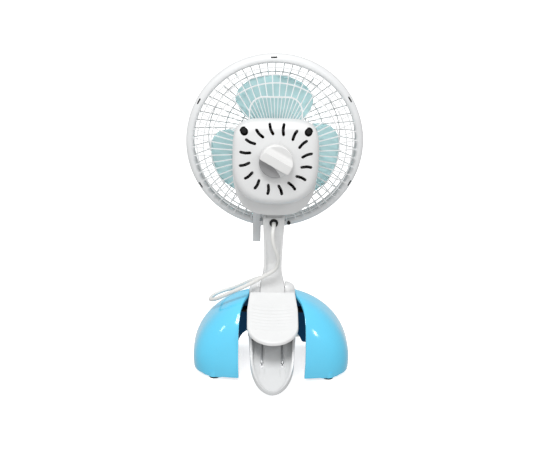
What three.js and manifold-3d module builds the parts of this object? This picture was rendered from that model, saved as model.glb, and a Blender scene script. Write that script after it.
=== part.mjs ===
// Small clip-on desk fan: a slotted dome base that holds a sprung clamp, a folding stem, and a
// tilting head with a caged three-blade fan and a rotary speed knob on its back.
// Millimetres. +Z is up and the air blows towards -Y, so the knob faces +Y.

import * as THREE from 'three';
import { mergeVertices } from 'three/addons/utils/BufferGeometryUtils.js';
import Module from 'manifold-3d';

const wasm = await Module();
wasm.setup();

// ---------------------------------------------------------------- clearances

const gap = 0.3; // between pieces that seat on each other
const runningGap = 0.4; // round pins, shafts and bearings
const slideGap = 0.5; // beside pieces that turn past each other

// ---------------------------------------------------------------- base dome

const domeHalfWidth = 82.7;
const domeHalfDepth = 51.5;
const domeHeight = 84.7;
const domeWall = 2.4;
const domeWaistZ = 14; // the side wall is widest here
const domeTuck = 0.02; // share of the width lost between the waist and the floor
const domeProfilePower = 1.88;
const domePlanPower = 3.4;
const domeLift = 4; // the bottom edge stands this far off the floor
const slotBottomHalfWidth = 34; // clamp slot in the back of the dome
const slotWaistHalfWidth = 35;
const slotWaistZ = 44;
const slotUpperDrop = 14.7; // the slot's upper bends and corners below the dome's crown
const slotUpperZ = domeHeight - slotUpperDrop;
const slotUpperHalfWidth = 32.4;
const slotTopHalfWidth = 24.4;
const slotTopDrop = 5.7;
const slotTopZ = domeHeight - slotTopDrop;
const slotFrontY = -14; // how far the slot runs over the crown
const archHalfWidth = 38; // opening at the front, where a shelf edge goes in
const archHeight = 20;
const footX = 59.5;
const footY = 38.5;
const footRadius = 5.6;
const footHeight = 3.4;
const footBossRadius = 8;
const footBossTopZ = 12;
const footBossBottomZ = 2.6;

// ---------------------------------------------------------------- clamp

const hingeY = 42;
const hingeZ = 50;
const hingePinRadius = 2;
const saddleFrontY = -13.4;
const saddleBackY = 18;
const saddleBlockDepth = 16.7; // down from the dome's crown
const saddleBlockBottomZ = domeHeight - saddleBlockDepth;
const saddleCrownRise = 1.2; // the saddle stands this far out of the dome's crown
const lobeOuterX = 24;
const lobeRadius = 8.5;
const shieldHalfWidth = 26.4;
const shieldFlare = 2.6; // narrower by this at its root, on each side
const shieldTipY = 80;
const shieldTipDrop = 27.7; // the shield's line below the dome's crown
const shieldTipZ = domeHeight - shieldTipDrop;
const shieldMidY = 60;
const shieldMidDrop = 20.7;
const shieldMidZ = domeHeight - shieldMidDrop;
const shieldUpperY = 32;
const shieldUpperDrop = 9.7;
const shieldUpperZ = domeHeight - shieldUpperDrop;
const shieldSkin = 2.8;
const shieldRimDepth = 6; // at the shield's root, and at its tip
const shieldTipRimDepth = 3.6;
const shieldWall = 2.4;
const saddleCheekThickness = 3;
const cheekRadius = 6;
const leverHalfWidth = 24.6;
const leverTipHalfWidth = 22.6;
const leverWall = 2.4;
const leverTipY = 93; // as it stands, measured like hingeY
const leverTipZ = 3;
const leverTipWallHeight = 4;
const leverFloorDrop = 9.4; // underside of the tray floor below the hinge
const armHalfWidth = 12;
const jawFrontY = -46;
const jawBackY = -22;
const jawMeetZ = 14; // the two rubber pads meet at this height
const jawPadThickness = 3;
const jawPadHalfWidth = 15;
const jawArmThickness = 4;
const springWire = 1.6;
const springCoilRadius = 4;
const springTurns = 3; // whole turns in each half, besides the part turn to its arms
const springPitch = 2.35;
const springInnerX = 3.4;
const springHookY = 66;
const springLoopY = 62;
const saddleScrewX = 39;
const saddleScrewY = -8;
const saddleTabZ = 60;
const saddleTabThickness = 3;
const saddleTabHalfDepth = 6;

// ---------------------------------------------------------------- stem

const stemY = 3; // mid-plane of the stem
const foldRise = 0.8; // the fold hinge above the dome's crown
const foldZ = domeHeight + foldRise;
const stemFootHalfWidth = 12.7;
const stemWaistHalfWidth = 9.4;
const stemTopHalfWidth = 11.1;
const stemHalfDepth = 8;
const stemFootRadius = 10.5;
const tiltRise = 74.5; // tilt hinge above the fold hinge
const stemWaistRise = 28.5;
const forkEarThickness = 2.8;
const forkEarRadius = 9.3;
const lugRadius = 6;
const headTiltBack = 25; // degrees that the head tilts back
const webThickness = 1.7;
const cordHoleRise = 76;
const cordHoleRadius = 3.6;
const channelFloorY = -3;
const channelWall = 2.6;
const pinRadius = 2;
const cordDiameter = 4.2;

// ---------------------------------------------------------------- head

const shaftRise = 80; // the shaft above the tilt hinge
const shaftZ = foldZ + tiltRise + shaftRise;
const shaftRadius = 2.5;
const coverHalfWidth = 43.5;
const coverCentreDrop = 3.3; // the cover's middle lies below the shaft
const coverHalfHeight = 41.5;
const coverSeamY = 20;
const coverFaceY = 42;
const coverWall = 2.2;
const coverRound = 6;
const chinAboveHinge = 16; // the chin's lower edge above the tilt hinge, from the cover's middle
const chinHalfHeight = shaftRise - chinAboveHinge;
const housingFrontY = -3.2;
const housingPower = 4.2; // squareness of the upper corners
const coverLowerPower = 2.9;
const chinPower = 3;
const coverScrewInsetX = 11.5; // in from the cover's side and top
const coverScrewInsetZ = 12.5;
const coverScrewX = coverHalfWidth - coverScrewInsetX;
const coverScrewRise = coverHalfHeight - coverScrewInsetZ;
const coverScrewRecessRadius = 4;
const coverPostEndY = 33;
const ventCount = 16;
const ventInnerRadius = 25.5;
const ventOuterRadius = 37.5;
const ventWidth = 2.2;
const ventTurn = 13.5; // degrees from +X to the first vent
const ventSwing = 2.4; // degrees that each vent leans either way
const knobDrop = 2.6; // knob axis below the shaft
const knobRadius = 17;
const knobSkirt = 5;
const knobHeight = 11.5;
const knobGripHalfWidth = 4.6;
const knobGripAngle = 143;
const knobSpindleRadius = 3;
const switchRadius = 9;
const switchDepth = 5.5;

// ---------------------------------------------------------------- guards

const guardRadius = 92;
const rimWidth = 8.5;
const rearRimY = -16;
const rearRimDepth = 7.6;
const rearHubY = 12;
const rearHubRadius = 20;
const dishPower = 1.4;
const spokeCount = 30;
const spokeWidth = 1.5;
const spokeDepth = 2.2;
const archRibHalfWidth = 26.7;
const archRibHalfHeight = 55;
const archRibPower = 5;
const ribWidth = 2;
const hubRingHalfWidth = 21;
const hubRingHalfHeight = 31;
const rearRingRadius = 61;
const frontRimDepth = 8;
const frontRise = 31; // how far the front guard bulges ahead of its rim
const frontHubRadius = 17.5;
const frontRingRadius = 52;
const frontDishPower = 2.2;
const capRadius = 19.5;
const latchX = 16.2;
const latchHalfWidth = 4.2;
const latchTopInset = 22; // the latch's ends inside and outside the guard's edge
const latchTipReach = 13;
const latchTopRise = latchTopInset - guardRadius;
const latchTipRise = -guardRadius - latchTipReach;
const latchThickness = 2;
const guardScrewX = -16.3;
const guardScrewInset = 4.5; // in from the guard's edge
const guardScrewRadius = guardRadius - guardScrewInset;
const guardScrewHeadRadius = 2;
const guardScrewLength = 15;
const screwShank = 1.1;

// ---------------------------------------------------------------- rotor

const bladeCount = 3;
const bladeRadius = 70;
const bladeRearY = -15;
const bladeFrontY = -39;
const bladeThickness = 1.8;
const bladeHubRadius = 17;
const bladeHubWall = 2;
const bladeRootSpan = 62; // degrees that a blade covers at its root
const bladeTipSpan = 88; // and at its widest
const bladeFirstAngle = 88; // middle of the upper blade, in degrees from +X
const statorRadius = 27;
const statorThickness = 9;
const statorY = 22;
const rotorRadius = 13.5;
const windingInnerRadius = 15;
const windingOuterRadius = 24;
const bearingRadius = 6;
const bearingLength = 5;
const frontBearingY = 10.5;
const rearBearingY = 30.5;
const shaftRearY = 33.2;
const bracketThickness = 2;

// ---------------------------------------------------------------- solids

const degrees = Math.PI / 180;

function signedPower(value, power) {
  return Math.sign(value) * Math.abs(value) ** power;
}

// A closed geometry as a solid that can be joined and cut. Its faces end up pointing out.
function solid(geometry) {
  const bare = geometry.clone();
  for (const name of Object.keys(bare.attributes)) {
    if (name !== 'position') bare.deleteAttribute(name);
  }
  const merged = mergeVertices(bare, 1e-4);
  const points = merged.attributes.position.array;
  const corners = merged.index.array;
  const kept = [];
  let volume = 0;
  const a = new THREE.Vector3();
  const b = new THREE.Vector3();
  const c = new THREE.Vector3();
  for (let i = 0; i < corners.length; i += 3) {
    const [p, q, r] = [corners[i], corners[i + 1], corners[i + 2]];
    if (p === q || q === r || r === p) continue;
    kept.push(p, q, r);
    a.fromArray(points, 3 * p);
    b.fromArray(points, 3 * q);
    c.fromArray(points, 3 * r);
    volume += a.dot(b.cross(c));
  }
  if (volume < 0) kept.reverse();
  return new wasm.Manifold(new wasm.Mesh({
    numProp: 3,
    vertProperties: Float32Array.from(points),
    triVerts: Uint32Array.from(kept),
  }));
}

function geometryOf(body) {
  const { vertProperties, triVerts } = body.getMesh();
  const geometry = new THREE.BufferGeometry();
  geometry.setAttribute('position', new THREE.BufferAttribute(Float32Array.from(vertProperties), 3));
  geometry.setIndex(new THREE.BufferAttribute(Uint32Array.from(triVerts), 1));
  geometry.computeVertexNormals();
  return geometry;
}

const join = (first, ...others) => others.reduce((whole, other) => whole.add(other), first);
const cut = (first, ...tools) => tools.reduce((whole, tool) => whole.subtract(tool), first);
const common = (first, ...others) => others.reduce((whole, other) => whole.intersect(other), first);

function block(x0, x1, y0, y1, z0, z1) {
  const box = new THREE.BoxGeometry(x1 - x0, y1 - y0, z1 - z0);
  return solid(box.translate((x0 + x1) / 2, (y0 + y1) / 2, (z0 + z1) / 2));
}

// A round bar along an axis, from one coordinate to another on it, through a centre.
function bar(axis, radius, from, to, centre, sides = 24) {
  const rod = new THREE.CylinderGeometry(radius, radius, to - from, sides);
  if (axis === 'x') rod.rotateZ(Math.PI / 2);
  if (axis === 'z') rod.rotateX(Math.PI / 2);
  const place = new THREE.Vector3(...centre);
  place[axis] = (from + to) / 2;
  return solid(rod.translate(place.x, place.y, place.z));
}

// An outline drawn in two of the axes and drawn out along the third.
function extruded(outline, from, to, basis, curveSegments) {
  const geometry = new THREE.ExtrudeGeometry(outline, { depth: to - from, bevelEnabled: false, curveSegments });
  geometry.translate(0, 0, from);
  geometry.applyMatrix4(new THREE.Matrix4().makeBasis(...basis));
  return solid(geometry);
}

const unitX = new THREE.Vector3(1, 0, 0);
const unitY = new THREE.Vector3(0, 1, 0);
const unitZ = new THREE.Vector3(0, 0, 1);
const alongX = (outline, from, to, arcs = 8) => extruded(outline, from, to, [unitY, unitZ, unitX], arcs);
const alongZ = (outline, from, to, arcs = 8) => extruded(outline, from, to, [unitX, unitY, unitZ], arcs);
// drawn in X and Z, so the depth runs towards -Y
const alongY = (outline, from, to, arcs = 8) => (
  extruded(outline, -to, -from, [unitX, unitZ, unitY.clone().negate()], arcs));

function polygon(corners) {
  return new THREE.Shape(corners.map(([u, v]) => new THREE.Vector2(u, v)));
}

// A profile of [radius, y] points turned about the Y axis.
function turned(profile, sides = 40) {
  return solid(new THREE.LatheGeometry(profile.map(([r, y]) => new THREE.Vector2(r, y)), sides));
}

// A closed skin through sections that all have the same number of points, capped at both ends.
function loft(sections) {
  const count = sections[0].length;
  const positions = sections.flat().flatMap((point) => point.toArray());
  const faces = [];
  for (let i = 0; i < sections.length - 1; i += 1) {
    for (let j = 0; j < count; j += 1) {
      const k = (j + 1) % count;
      const [a, b, c, d] = [i * count + j, i * count + k, (i + 1) * count + k, (i + 1) * count + j];
      faces.push(a, b, c, a, c, d);
    }
  }
  for (const end of [0, sections.length - 1]) {
    const middle = new THREE.Vector3();
    for (const point of sections[end]) middle.addScaledVector(point, 1 / count);
    const tip = positions.length / 3;
    positions.push(...middle.toArray());
    for (let j = 0; j < count; j += 1) {
      const k = (j + 1) % count;
      if (end === 0) faces.push(end * count + k, end * count + j, tip);
      else faces.push(end * count + j, end * count + k, tip);
    }
  }
  const geometry = new THREE.BufferGeometry();
  geometry.setAttribute('position', new THREE.Float32BufferAttribute(positions, 3));
  geometry.setIndex(faces);
  return solid(geometry);
}

// A round section carried along a list of points without twisting.
function tubeAlong(points, radius, sides) {
  const tangentAt = (i) => points[Math.min(i + 1, points.length - 1)].clone()
    .sub(points[Math.max(i - 1, 0)]).normalize();
  let side = new THREE.Vector3(0.31, 0.17, 0.93).cross(tangentAt(0)).normalize();
  const sections = points.map((point, i) => {
    const tangent = tangentAt(i);
    side = side.addScaledVector(tangent, -side.dot(tangent)).normalize().clone();
    const up = tangent.clone().cross(side);
    return Array.from({ length: sides }, (_, j) => {
      const turn = (2 * Math.PI * j) / sides;
      return point.clone()
        .addScaledVector(side, radius * Math.cos(turn))
        .addScaledVector(up, radius * Math.sin(turn));
    });
  });
  return loft(sections);
}

// ---------------------------------------------------------------- materials

function plastic(color, roughness = 0.35) {
  return new THREE.MeshStandardMaterial({ color, roughness, metalness: 0 });
}
function metal(color, roughness = 0.3) {
  return new THREE.MeshStandardMaterial({ color, roughness, metalness: 1 });
}

const bluePlastic = plastic(0x5fc8f0, 0.15);
const whitePlastic = plastic(0xf2f4f3, 0.3);
const guardPlastic = plastic(0xeef1f2, 0.3);
const bladePlastic = new THREE.MeshStandardMaterial({
  color: 0x9fd8dc, roughness: 0.15, metalness: 0, transparent: true, opacity: 0.75,
});
const knobPlastic = plastic(0xdfe2e1, 0.25);
const blackRubber = plastic(0x1b1c1d, 0.8);
const darkPlastic = plastic(0x2b2d2e, 0.5);
const cordPlastic = plastic(0xf0f2ef, 0.45);
const steel = metal(0xb9bcbe);
const laminations = metal(0x8a8d90, 0.5);
const copper = metal(0xb06a3a, 0.4);
const brass = metal(0xc8a24a, 0.3);

// ---------------------------------------------------------------- assembly tree

const fan = new THREE.Group();
const base = new THREE.Group();
const jaw = new THREE.Group();
const hinge = new THREE.Group();
const foldAxis = new THREE.Group();
const stem = new THREE.Group();
const head = new THREE.Group();
const rotor = new THREE.Group();
const knob = new THREE.Group();
const lead = new THREE.Group();

hinge.position.set(0, hingeY, hingeZ);
jaw.position.copy(hinge.position);
foldAxis.position.set(0, stemY, foldZ);
stem.position.copy(foldAxis.position);
head.position.set(0, -stemY, shaftZ - foldZ); // the head's own origin is on the shaft
knob.position.set(0, 0, -knobDrop);
fan.add(base, lead);
base.add(hinge, foldAxis, jaw, stem);
stem.add(head);
head.add(rotor, knob);

function piece(name, body, material, parent) {
  const mesh = new THREE.Mesh(geometryOf(body), material);
  mesh.name = name;
  parent.add(mesh);
  return mesh;
}

// ---------------------------------------------------------------- base

// The dome as a solid, drawn in by an inset on every side.
function domeSolid(inset) {
  const around = 32;
  const rises = 6;
  const halfWidth = domeHalfWidth - inset;
  const halfDepth = domeHalfDepth - inset;
  const rise = domeHeight - inset - domeWaistZ;
  const levels = [[1 - domeTuck, -2], [1, domeWaistZ * 0.6]];
  for (let i = 0; i < rises; i += 1) {
    const turn = (Math.PI / 2) * (i / rises);
    const share = Math.cos(turn) ** (2 / domeProfilePower);
    levels.push([share, domeWaistZ + rise * Math.sin(turn) ** (2 / domeProfilePower)]);
  }
  levels.push([0.02, domeWaistZ + rise]);
  return loft(levels.map(([share, z]) => Array.from({ length: around }, (_, j) => {
    const turn = (2 * Math.PI * j) / around;
    return new THREE.Vector3(
      halfWidth * share * signedPower(Math.cos(turn), 2 / domePlanPower),
      halfDepth * share * signedPower(Math.sin(turn), 2 / domePlanPower),
      z,
    );
  })));
}

function slotOutline() {
  const outline = new THREE.Shape();
  outline.moveTo(slotBottomHalfWidth, -5);
  outline.splineThru([
    new THREE.Vector2(slotWaistHalfWidth, slotWaistZ),
    new THREE.Vector2(slotUpperHalfWidth, slotUpperZ),
    new THREE.Vector2(slotTopHalfWidth, slotTopZ),
  ]);
  outline.lineTo(slotTopHalfWidth, domeHeight + 10);
  outline.lineTo(-slotTopHalfWidth, domeHeight + 10);
  outline.lineTo(-slotTopHalfWidth, slotTopZ);
  outline.splineThru([
    new THREE.Vector2(-slotUpperHalfWidth, slotUpperZ),
    new THREE.Vector2(-slotWaistHalfWidth, slotWaistZ),
    new THREE.Vector2(-slotBottomHalfWidth, -5),
  ]);
  return outline;
}

function archOutline() {
  const outline = new THREE.Shape();
  outline.moveTo(-archHalfWidth, -5);
  outline.quadraticCurveTo(-archHalfWidth + 2, archHeight, -archHalfWidth / 2, archHeight);
  outline.lineTo(archHalfWidth / 2, archHeight);
  outline.quadraticCurveTo(archHalfWidth - 2, archHeight, archHalfWidth, -5);
  return outline;
}

const footPlaces = [[footX, footY], [-footX, footY], [footX, -footY], [-footX, -footY]];

function baseShell() {
  const outer = domeSolid(0);
  const reach = domeHalfWidth + 20;
  let shell = cut(outer, domeSolid(domeWall), block(-reach, reach, -reach, reach, -10, domeLift));
  for (const [x, y] of footPlaces) {
    const boss = bar('z', footBossRadius, footBossBottomZ, footBossTopZ, [x, y, 0], 14);
    shell = join(shell, common(boss, outer));
  }
  for (const side of [1, -1]) {
    const post = bar('z', 4, saddleTabZ + gap, domeHeight, [side * saddleScrewX, saddleScrewY, 0], 12);
    shell = join(shell, common(post, outer));
  }
  shell = cut(
    shell,
    alongY(slotOutline(), slotFrontY, reach, 4),
    alongY(archOutline(), -reach, -domeHalfDepth + 22, 5),
  );
  for (const [x, y] of footPlaces) {
    shell = cut(shell, bar('z', footRadius + gap, -5, footHeight + gap, [x, y, 0], 14));
  }
  for (const side of [1, -1]) {
    shell = cut(shell, bar('z', 1.9, 0, saddleTabZ + 12, [side * saddleScrewX, saddleScrewY, 0], 10));
  }
  return shell;
}

function foot(x, y) {
  const edge = 0.8;
  const profile = [[0, 0], [footRadius - edge, 0], [footRadius, edge], [footRadius, footHeight], [0, footHeight]];
  const points = profile.map(([r, h]) => new THREE.Vector2(r, h));
  return solid(new THREE.LatheGeometry(points, 14).rotateX(Math.PI / 2).translate(x, y, 0));
}

// ---------------------------------------------------------------- clamp, upper leg

const shieldTop = new THREE.SplineCurve([
  new THREE.Vector2(stemY + stemFootRadius, foldZ + 0.1),
  new THREE.Vector2(shieldUpperY, shieldUpperZ),
  new THREE.Vector2(shieldMidY, shieldMidZ),
  new THREE.Vector2(shieldTipY + 2, shieldTipZ - 0.8),
]);

// The strip between the shield's upper line lowered by two amounts, seen from the side. Its lower
// edge runs from one amount at the root to another at the tip.
function shieldStrip(upper, lower, tipLower = lower) {
  const line = shieldTop.getPoints(9);
  const over = line.map((p) => new THREE.Vector2(p.x, p.y - upper));
  const under = line.map((p, i) => {
    const depth = lower + ((tipLower - lower) * i) / (line.length - 1);
    return new THREE.Vector2(p.x, p.y - depth);
  });
  return new THREE.Shape([...over, ...under.reverse()]);
}

// A tongue in plan: it widens a little from its root and has a round end.
function tongue(halfWidth, rootY, tipY) {
  const outline = new THREE.Shape();
  const rootHalfWidth = halfWidth - shieldFlare;
  outline.moveTo(-rootHalfWidth, rootY);
  outline.lineTo(rootHalfWidth, rootY);
  outline.lineTo(halfWidth, shieldUpperY);
  outline.lineTo(halfWidth, tipY - halfWidth);
  outline.absellipse(0, tipY - halfWidth, halfWidth, halfWidth, 0, Math.PI, false);
  outline.lineTo(-halfWidth, shieldUpperY);
  return outline;
}

function shield() {
  const startY = stemY + stemFootRadius + 0.5;
  const skin = common(
    alongX(shieldStrip(0, shieldRimDepth, shieldTipRimDepth), -shieldHalfWidth, shieldHalfWidth),
    alongZ(tongue(shieldHalfWidth, startY, shieldTipY), 0, domeHeight + 9, 8),
  );
  const hollow = common(
    alongX(shieldStrip(shieldSkin, shieldRimDepth + 10), -shieldHalfWidth, shieldHalfWidth),
    alongZ(tongue(shieldHalfWidth - shieldWall, startY - 5, shieldTipY - shieldWall), 0, domeHeight + 9, 8),
  );
  return cut(skin, hollow);
}

// The lobe that holds one side of the stem's foot, round from the side and from behind.
function lobe(side) {
  const fromBehind = new THREE.Shape();
  const innerX = stemFootHalfWidth + slideGap;
  fromBehind.moveTo(side * innerX, saddleBlockBottomZ);
  fromBehind.lineTo(side * innerX, foldZ + lobeRadius);
  fromBehind.lineTo(side * (innerX + 3), foldZ + lobeRadius);
  fromBehind.quadraticCurveTo(side * (lobeOuterX - 1), foldZ + lobeRadius, side * lobeOuterX, foldZ);
  fromBehind.lineTo(side * lobeOuterX, saddleBlockBottomZ);
  const fromSide = new THREE.Shape();
  fromSide.moveTo(stemY - lobeRadius - 2, saddleBlockBottomZ);
  fromSide.lineTo(stemY + lobeRadius + 2, saddleBlockBottomZ);
  fromSide.lineTo(stemY + lobeRadius, foldZ);
  fromSide.absarc(stemY, foldZ, lobeRadius, 0, Math.PI, false);
  return common(alongY(fromBehind, -30, 40, 4), alongX(fromSide, -lobeOuterX - 1, lobeOuterX + 1, 8));
}

// Height of a side-view curve at a place along Y.
function heightOn(curve, y) {
  const line = curve.getPoints(40);
  const next = Math.max(1, line.findIndex((p) => p.x >= y));
  const [a, b] = [line[next - 1], line[next]];
  return a.y + ((b.y - a.y) * (y - a.x)) / (b.x - a.x);
}

// A plate from inside the shield's skin down round the hinge pin.
function cheek(innerX, outerX) {
  const halfFoot = cheekRadius + 6;
  const sink = shieldSkin / 2;
  const outline = new THREE.Shape();
  outline.moveTo(hingeY - cheekRadius, hingeZ);
  outline.absarc(hingeY, hingeZ, cheekRadius, Math.PI, 2 * Math.PI, false);
  outline.lineTo(hingeY + halfFoot, heightOn(shieldTop, hingeY + halfFoot) - sink);
  outline.lineTo(hingeY - halfFoot, heightOn(shieldTop, hingeY - halfFoot) - sink);
  return alongX(outline, innerX, outerX, 8);
}

const upperJawBottomZ = jawMeetZ + gap / 2 + jawPadThickness + gap;
const lowerJawTopZ = jawMeetZ - gap / 2 - jawPadThickness - gap;

function saddle() {
  const slotHalfWidth = stemFootHalfWidth + slideGap;
  const slotBackY = stemY + stemFootRadius + slideGap;
  const slotBottomZ = foldZ - stemFootRadius - slideGap;
  let body = common(
    block(-lobeOuterX, lobeOuterX, saddleFrontY, saddleBackY, saddleBlockBottomZ, domeHeight + 5),
    domeSolid(-saddleCrownRise),
  );
  body = join(body, shield(), lobe(1), lobe(-1));
  body = cut(body, block(-slotHalfWidth, slotHalfWidth, saddleFrontY - 5, slotBackY, slotBottomZ, domeHeight + 9));
  // cheeks down to the hinge pin, inside the tray's walls
  const cheekOuterX = leverHalfWidth - leverWall - slideGap;
  for (const side of [1, -1]) {
    const inner = side > 0 ? cheekOuterX - saddleCheekThickness : -cheekOuterX;
    body = join(body, cheek(inner, inner + saddleCheekThickness));
  }
  // arm that carries the upper jaw forward under the crown
  const arm = polygon([
    [saddleBackY - 4, saddleBlockBottomZ + 1],
    [saddleFrontY, saddleBlockBottomZ + 1],
    [saddleFrontY - 4, saddleBlockBottomZ - 4],
    [jawFrontY, upperJawBottomZ + jawArmThickness],
    [jawFrontY, upperJawBottomZ],
    [jawBackY, upperJawBottomZ],
    [saddleBackY - 8, saddleBlockBottomZ - 8],
  ]);
  const jawPlate = block(
    -jawPadHalfWidth, jawPadHalfWidth,
    jawFrontY, jawBackY,
    upperJawBottomZ, upperJawBottomZ + jawArmThickness,
  );
  body = join(body, alongX(arm, -armHalfWidth, armHalfWidth), jawPlate);
  // tabs screwed up into the dome's posts
  const tab = block(
    -saddleScrewX - 5, saddleScrewX + 5,
    saddleScrewY - saddleTabHalfDepth, saddleScrewY + saddleTabHalfDepth,
    saddleTabZ - saddleTabThickness, saddleTabZ,
  );
  const legs = [1, -1].map((side) => block(
    side > 0 ? 17 : -21, side > 0 ? 21 : -17,
    saddleScrewY - saddleTabHalfDepth + 1, saddleScrewY + saddleTabHalfDepth,
    saddleTabZ - 1, saddleBlockBottomZ + 1,
  ));
  body = join(body, tab, ...legs);
  for (const side of [1, -1]) {
    body = cut(body, bar('z', 1.9, saddleTabZ - 10, saddleTabZ + 5, [side * saddleScrewX, saddleScrewY, 0], 12));
  }
  return cut(
    body,
    bar('x', hingePinRadius + runningGap, -40, 40, [0, hingeY, hingeZ], 12),
    bar('x', pinRadius + runningGap, -40, 40, [0, stemY, foldZ], 12),
  );
}

// ---------------------------------------------------------------- clamp, lower leg

// The lever is drawn about the hinge pin.
const trayTipY = leverTipY - hingeY;
const trayTipZ = leverTipZ - hingeZ;

function trayPlan(inset) {
  const outline = new THREE.Shape();
  const back = -cheekRadius - 1;
  const roundStart = trayTipY - 30;
  const wide = leverHalfWidth - inset;
  const narrow = leverTipHalfWidth - inset;
  outline.moveTo(-wide, back);
  outline.lineTo(wide, back);
  outline.lineTo(wide, 6);
  outline.lineTo(narrow, roundStart);
  outline.absellipse(0, roundStart, narrow, 30 - inset, 0, Math.PI, false);
  outline.lineTo(-wide, 6);
  return outline;
}

const trayFloorSlope = (trayTipZ + leverFloorDrop) / trayTipY;
const trayUnderZ = (y) => -leverFloorDrop + trayFloorSlope * y;

function jawLever() {
  const sideView = new THREE.Shape();
  sideView.moveTo(-cheekRadius, 0);
  sideView.lineTo(-cheekRadius, trayUnderZ(0));
  sideView.lineTo(0, trayUnderZ(0));
  sideView.lineTo(trayTipY + 1, trayUnderZ(trayTipY + 1));
  sideView.lineTo(trayTipY + 1, trayTipZ + leverTipWallHeight);
  sideView.lineTo(cheekRadius * 0.72, cheekRadius * 0.72);
  sideView.absarc(0, 0, cheekRadius, Math.PI / 4, Math.PI, false);
  const inside = polygon([
    [-cheekRadius - 9, trayUnderZ(0) + leverWall],
    [-cheekRadius - 9, 30],
    [trayTipY + 9, 30],
    [trayTipY + 9, trayUnderZ(trayTipY + 9) + leverWall],
    [0, trayUnderZ(0) + leverWall],
  ]);
  const tray = cut(
    common(alongX(sideView, -leverHalfWidth, leverHalfWidth, 8), alongZ(trayPlan(0), -90, 30, 8)),
    common(alongX(inside, -leverHalfWidth, leverHalfWidth), alongZ(trayPlan(leverWall), -90, 40, 8)),
  );
  // arm that reaches forward to the lower jaw
  const jawFront = jawFrontY - hingeY;
  const jawBack = jawBackY - hingeY;
  const jawTop = lowerJawTopZ - hingeZ;
  const arm = polygon([
    [4, trayUnderZ(4) + 0.5],
    [-cheekRadius, trayUnderZ(0) + leverWall],
    [-cheekRadius - 6, trayUnderZ(0) + leverWall - 2],
    [jawBack, jawTop],
    [jawFront, jawTop],
    [jawFront, jawTop - jawArmThickness],
    [jawBack, jawTop - jawArmThickness],
    [-cheekRadius, trayUnderZ(0) - 2],
    [4, trayUnderZ(4) + 0.1],
  ]);
  const jawPlate = block(-jawPadHalfWidth, jawPadHalfWidth, jawFront, jawBack, jawTop - jawArmThickness, jawTop);
  let body = join(tray, alongX(arm, -armHalfWidth, armHalfWidth), jawPlate);
  for (const x of [springArmX, -springArmX]) {
    const slotY = springHookY - hingeY;
    body = cut(body, block(x - 1.4, x + 1.4, slotY - 4, slotY + 2, trayUnderZ(slotY) - 5, trayUnderZ(slotY) + 5));
  }
  return cut(body, bar('x', hingePinRadius + runningGap, -40, 40, [0, 0, 0], 16));
}

// ---------------------------------------------------------------- clamp spring

const springArmX = springInnerX + springTurns * springPitch;
const trayTurn = Math.atan(trayFloorSlope);

// One wire: a tray arm, a coil on the pin and half of the loop under the shield.
function springHalf() {
  const along = new THREE.Vector3(0, Math.cos(trayTurn), Math.sin(trayTurn));
  const down = new THREE.Vector3(0, Math.sin(trayTurn), -Math.cos(trayTurn));
  const arm = (reach, lift) => new THREE.Vector3(springArmX, 0, 0)
    .addScaledVector(along, reach)
    .addScaledVector(down, springCoilRadius - lift);
  const hookReach = (springHookY - hingeY - springCoilRadius * Math.sin(trayTurn)) / Math.cos(trayTurn);
  const half = [arm(hookReach, -2.6), arm(hookReach - 0.3, -0.8), arm(hookReach - 1.2, 0)];
  half.push(arm(hookReach * 0.6, 0), arm(hookReach * 0.25, 0));
  const loopY = springLoopY - hingeY;
  const loopZ = heightOn(shieldTop, springLoopY) - shieldSkin - springWire / 2 - gap - hingeZ;
  const loopTurn = Math.atan2(loopZ, loopY) - Math.asin(springCoilRadius / Math.hypot(loopY, loopZ));
  const start = trayTurn - Math.PI / 2;
  const sweep = (springTurns + 1) * 2 * Math.PI - (Math.PI + loopTurn - trayTurn);
  const steps = Math.round((sweep / (2 * Math.PI)) * 8);
  for (let i = 0; i <= steps; i += 1) {
    const turn = start - (sweep * i) / steps;
    half.push(new THREE.Vector3(
      springArmX - ((springArmX - springInnerX) * i) / steps,
      springCoilRadius * Math.cos(turn),
      springCoilRadius * Math.sin(turn),
    ));
  }
  half.push(new THREE.Vector3(springInnerX, loopY - 2, loopZ - 2 * Math.tan(loopTurn)));
  half.push(new THREE.Vector3(springInnerX - 0.7, loopY - 0.5, loopZ - 0.2));
  half.push(new THREE.Vector3(springInnerX - 2, loopY, loopZ));
  return half;
}

function springPoints() {
  const half = springHalf();
  const other = half.map((p) => new THREE.Vector3(-p.x, p.y, p.z)).reverse();
  return [...half, ...other];
}

// ---------------------------------------------------------------- stem

// Half-width of the stem at a height above the fold hinge.
const stemSide = new THREE.SplineCurve([
  new THREE.Vector2(stemFootHalfWidth, 4),
  new THREE.Vector2(stemWaistHalfWidth + 0.6, stemWaistRise * 0.6),
  new THREE.Vector2(stemWaistHalfWidth, stemWaistRise),
  new THREE.Vector2(stemWaistHalfWidth + 0.6, stemWaistRise + 22),
  new THREE.Vector2(stemTopHalfWidth, tiltRise),
]);

function stemOutline(inset, topRise) {
  const right = stemSide.getPoints(8).map((p) => new THREE.Vector2(p.x - inset, p.y));
  const corners = [
    new THREE.Vector2(stemFootHalfWidth - inset, -stemFootRadius - 1),
    ...right,
    new THREE.Vector2(stemTopHalfWidth - inset, topRise),
  ];
  const left = corners.map((p) => new THREE.Vector2(-p.x, p.y)).reverse();
  return new THREE.Shape([...corners, ...left]);
}

const forkInnerX = stemTopHalfWidth - forkEarThickness;
const webBackY = stemHalfDepth;
const webFrontY = webBackY - webThickness;

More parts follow.
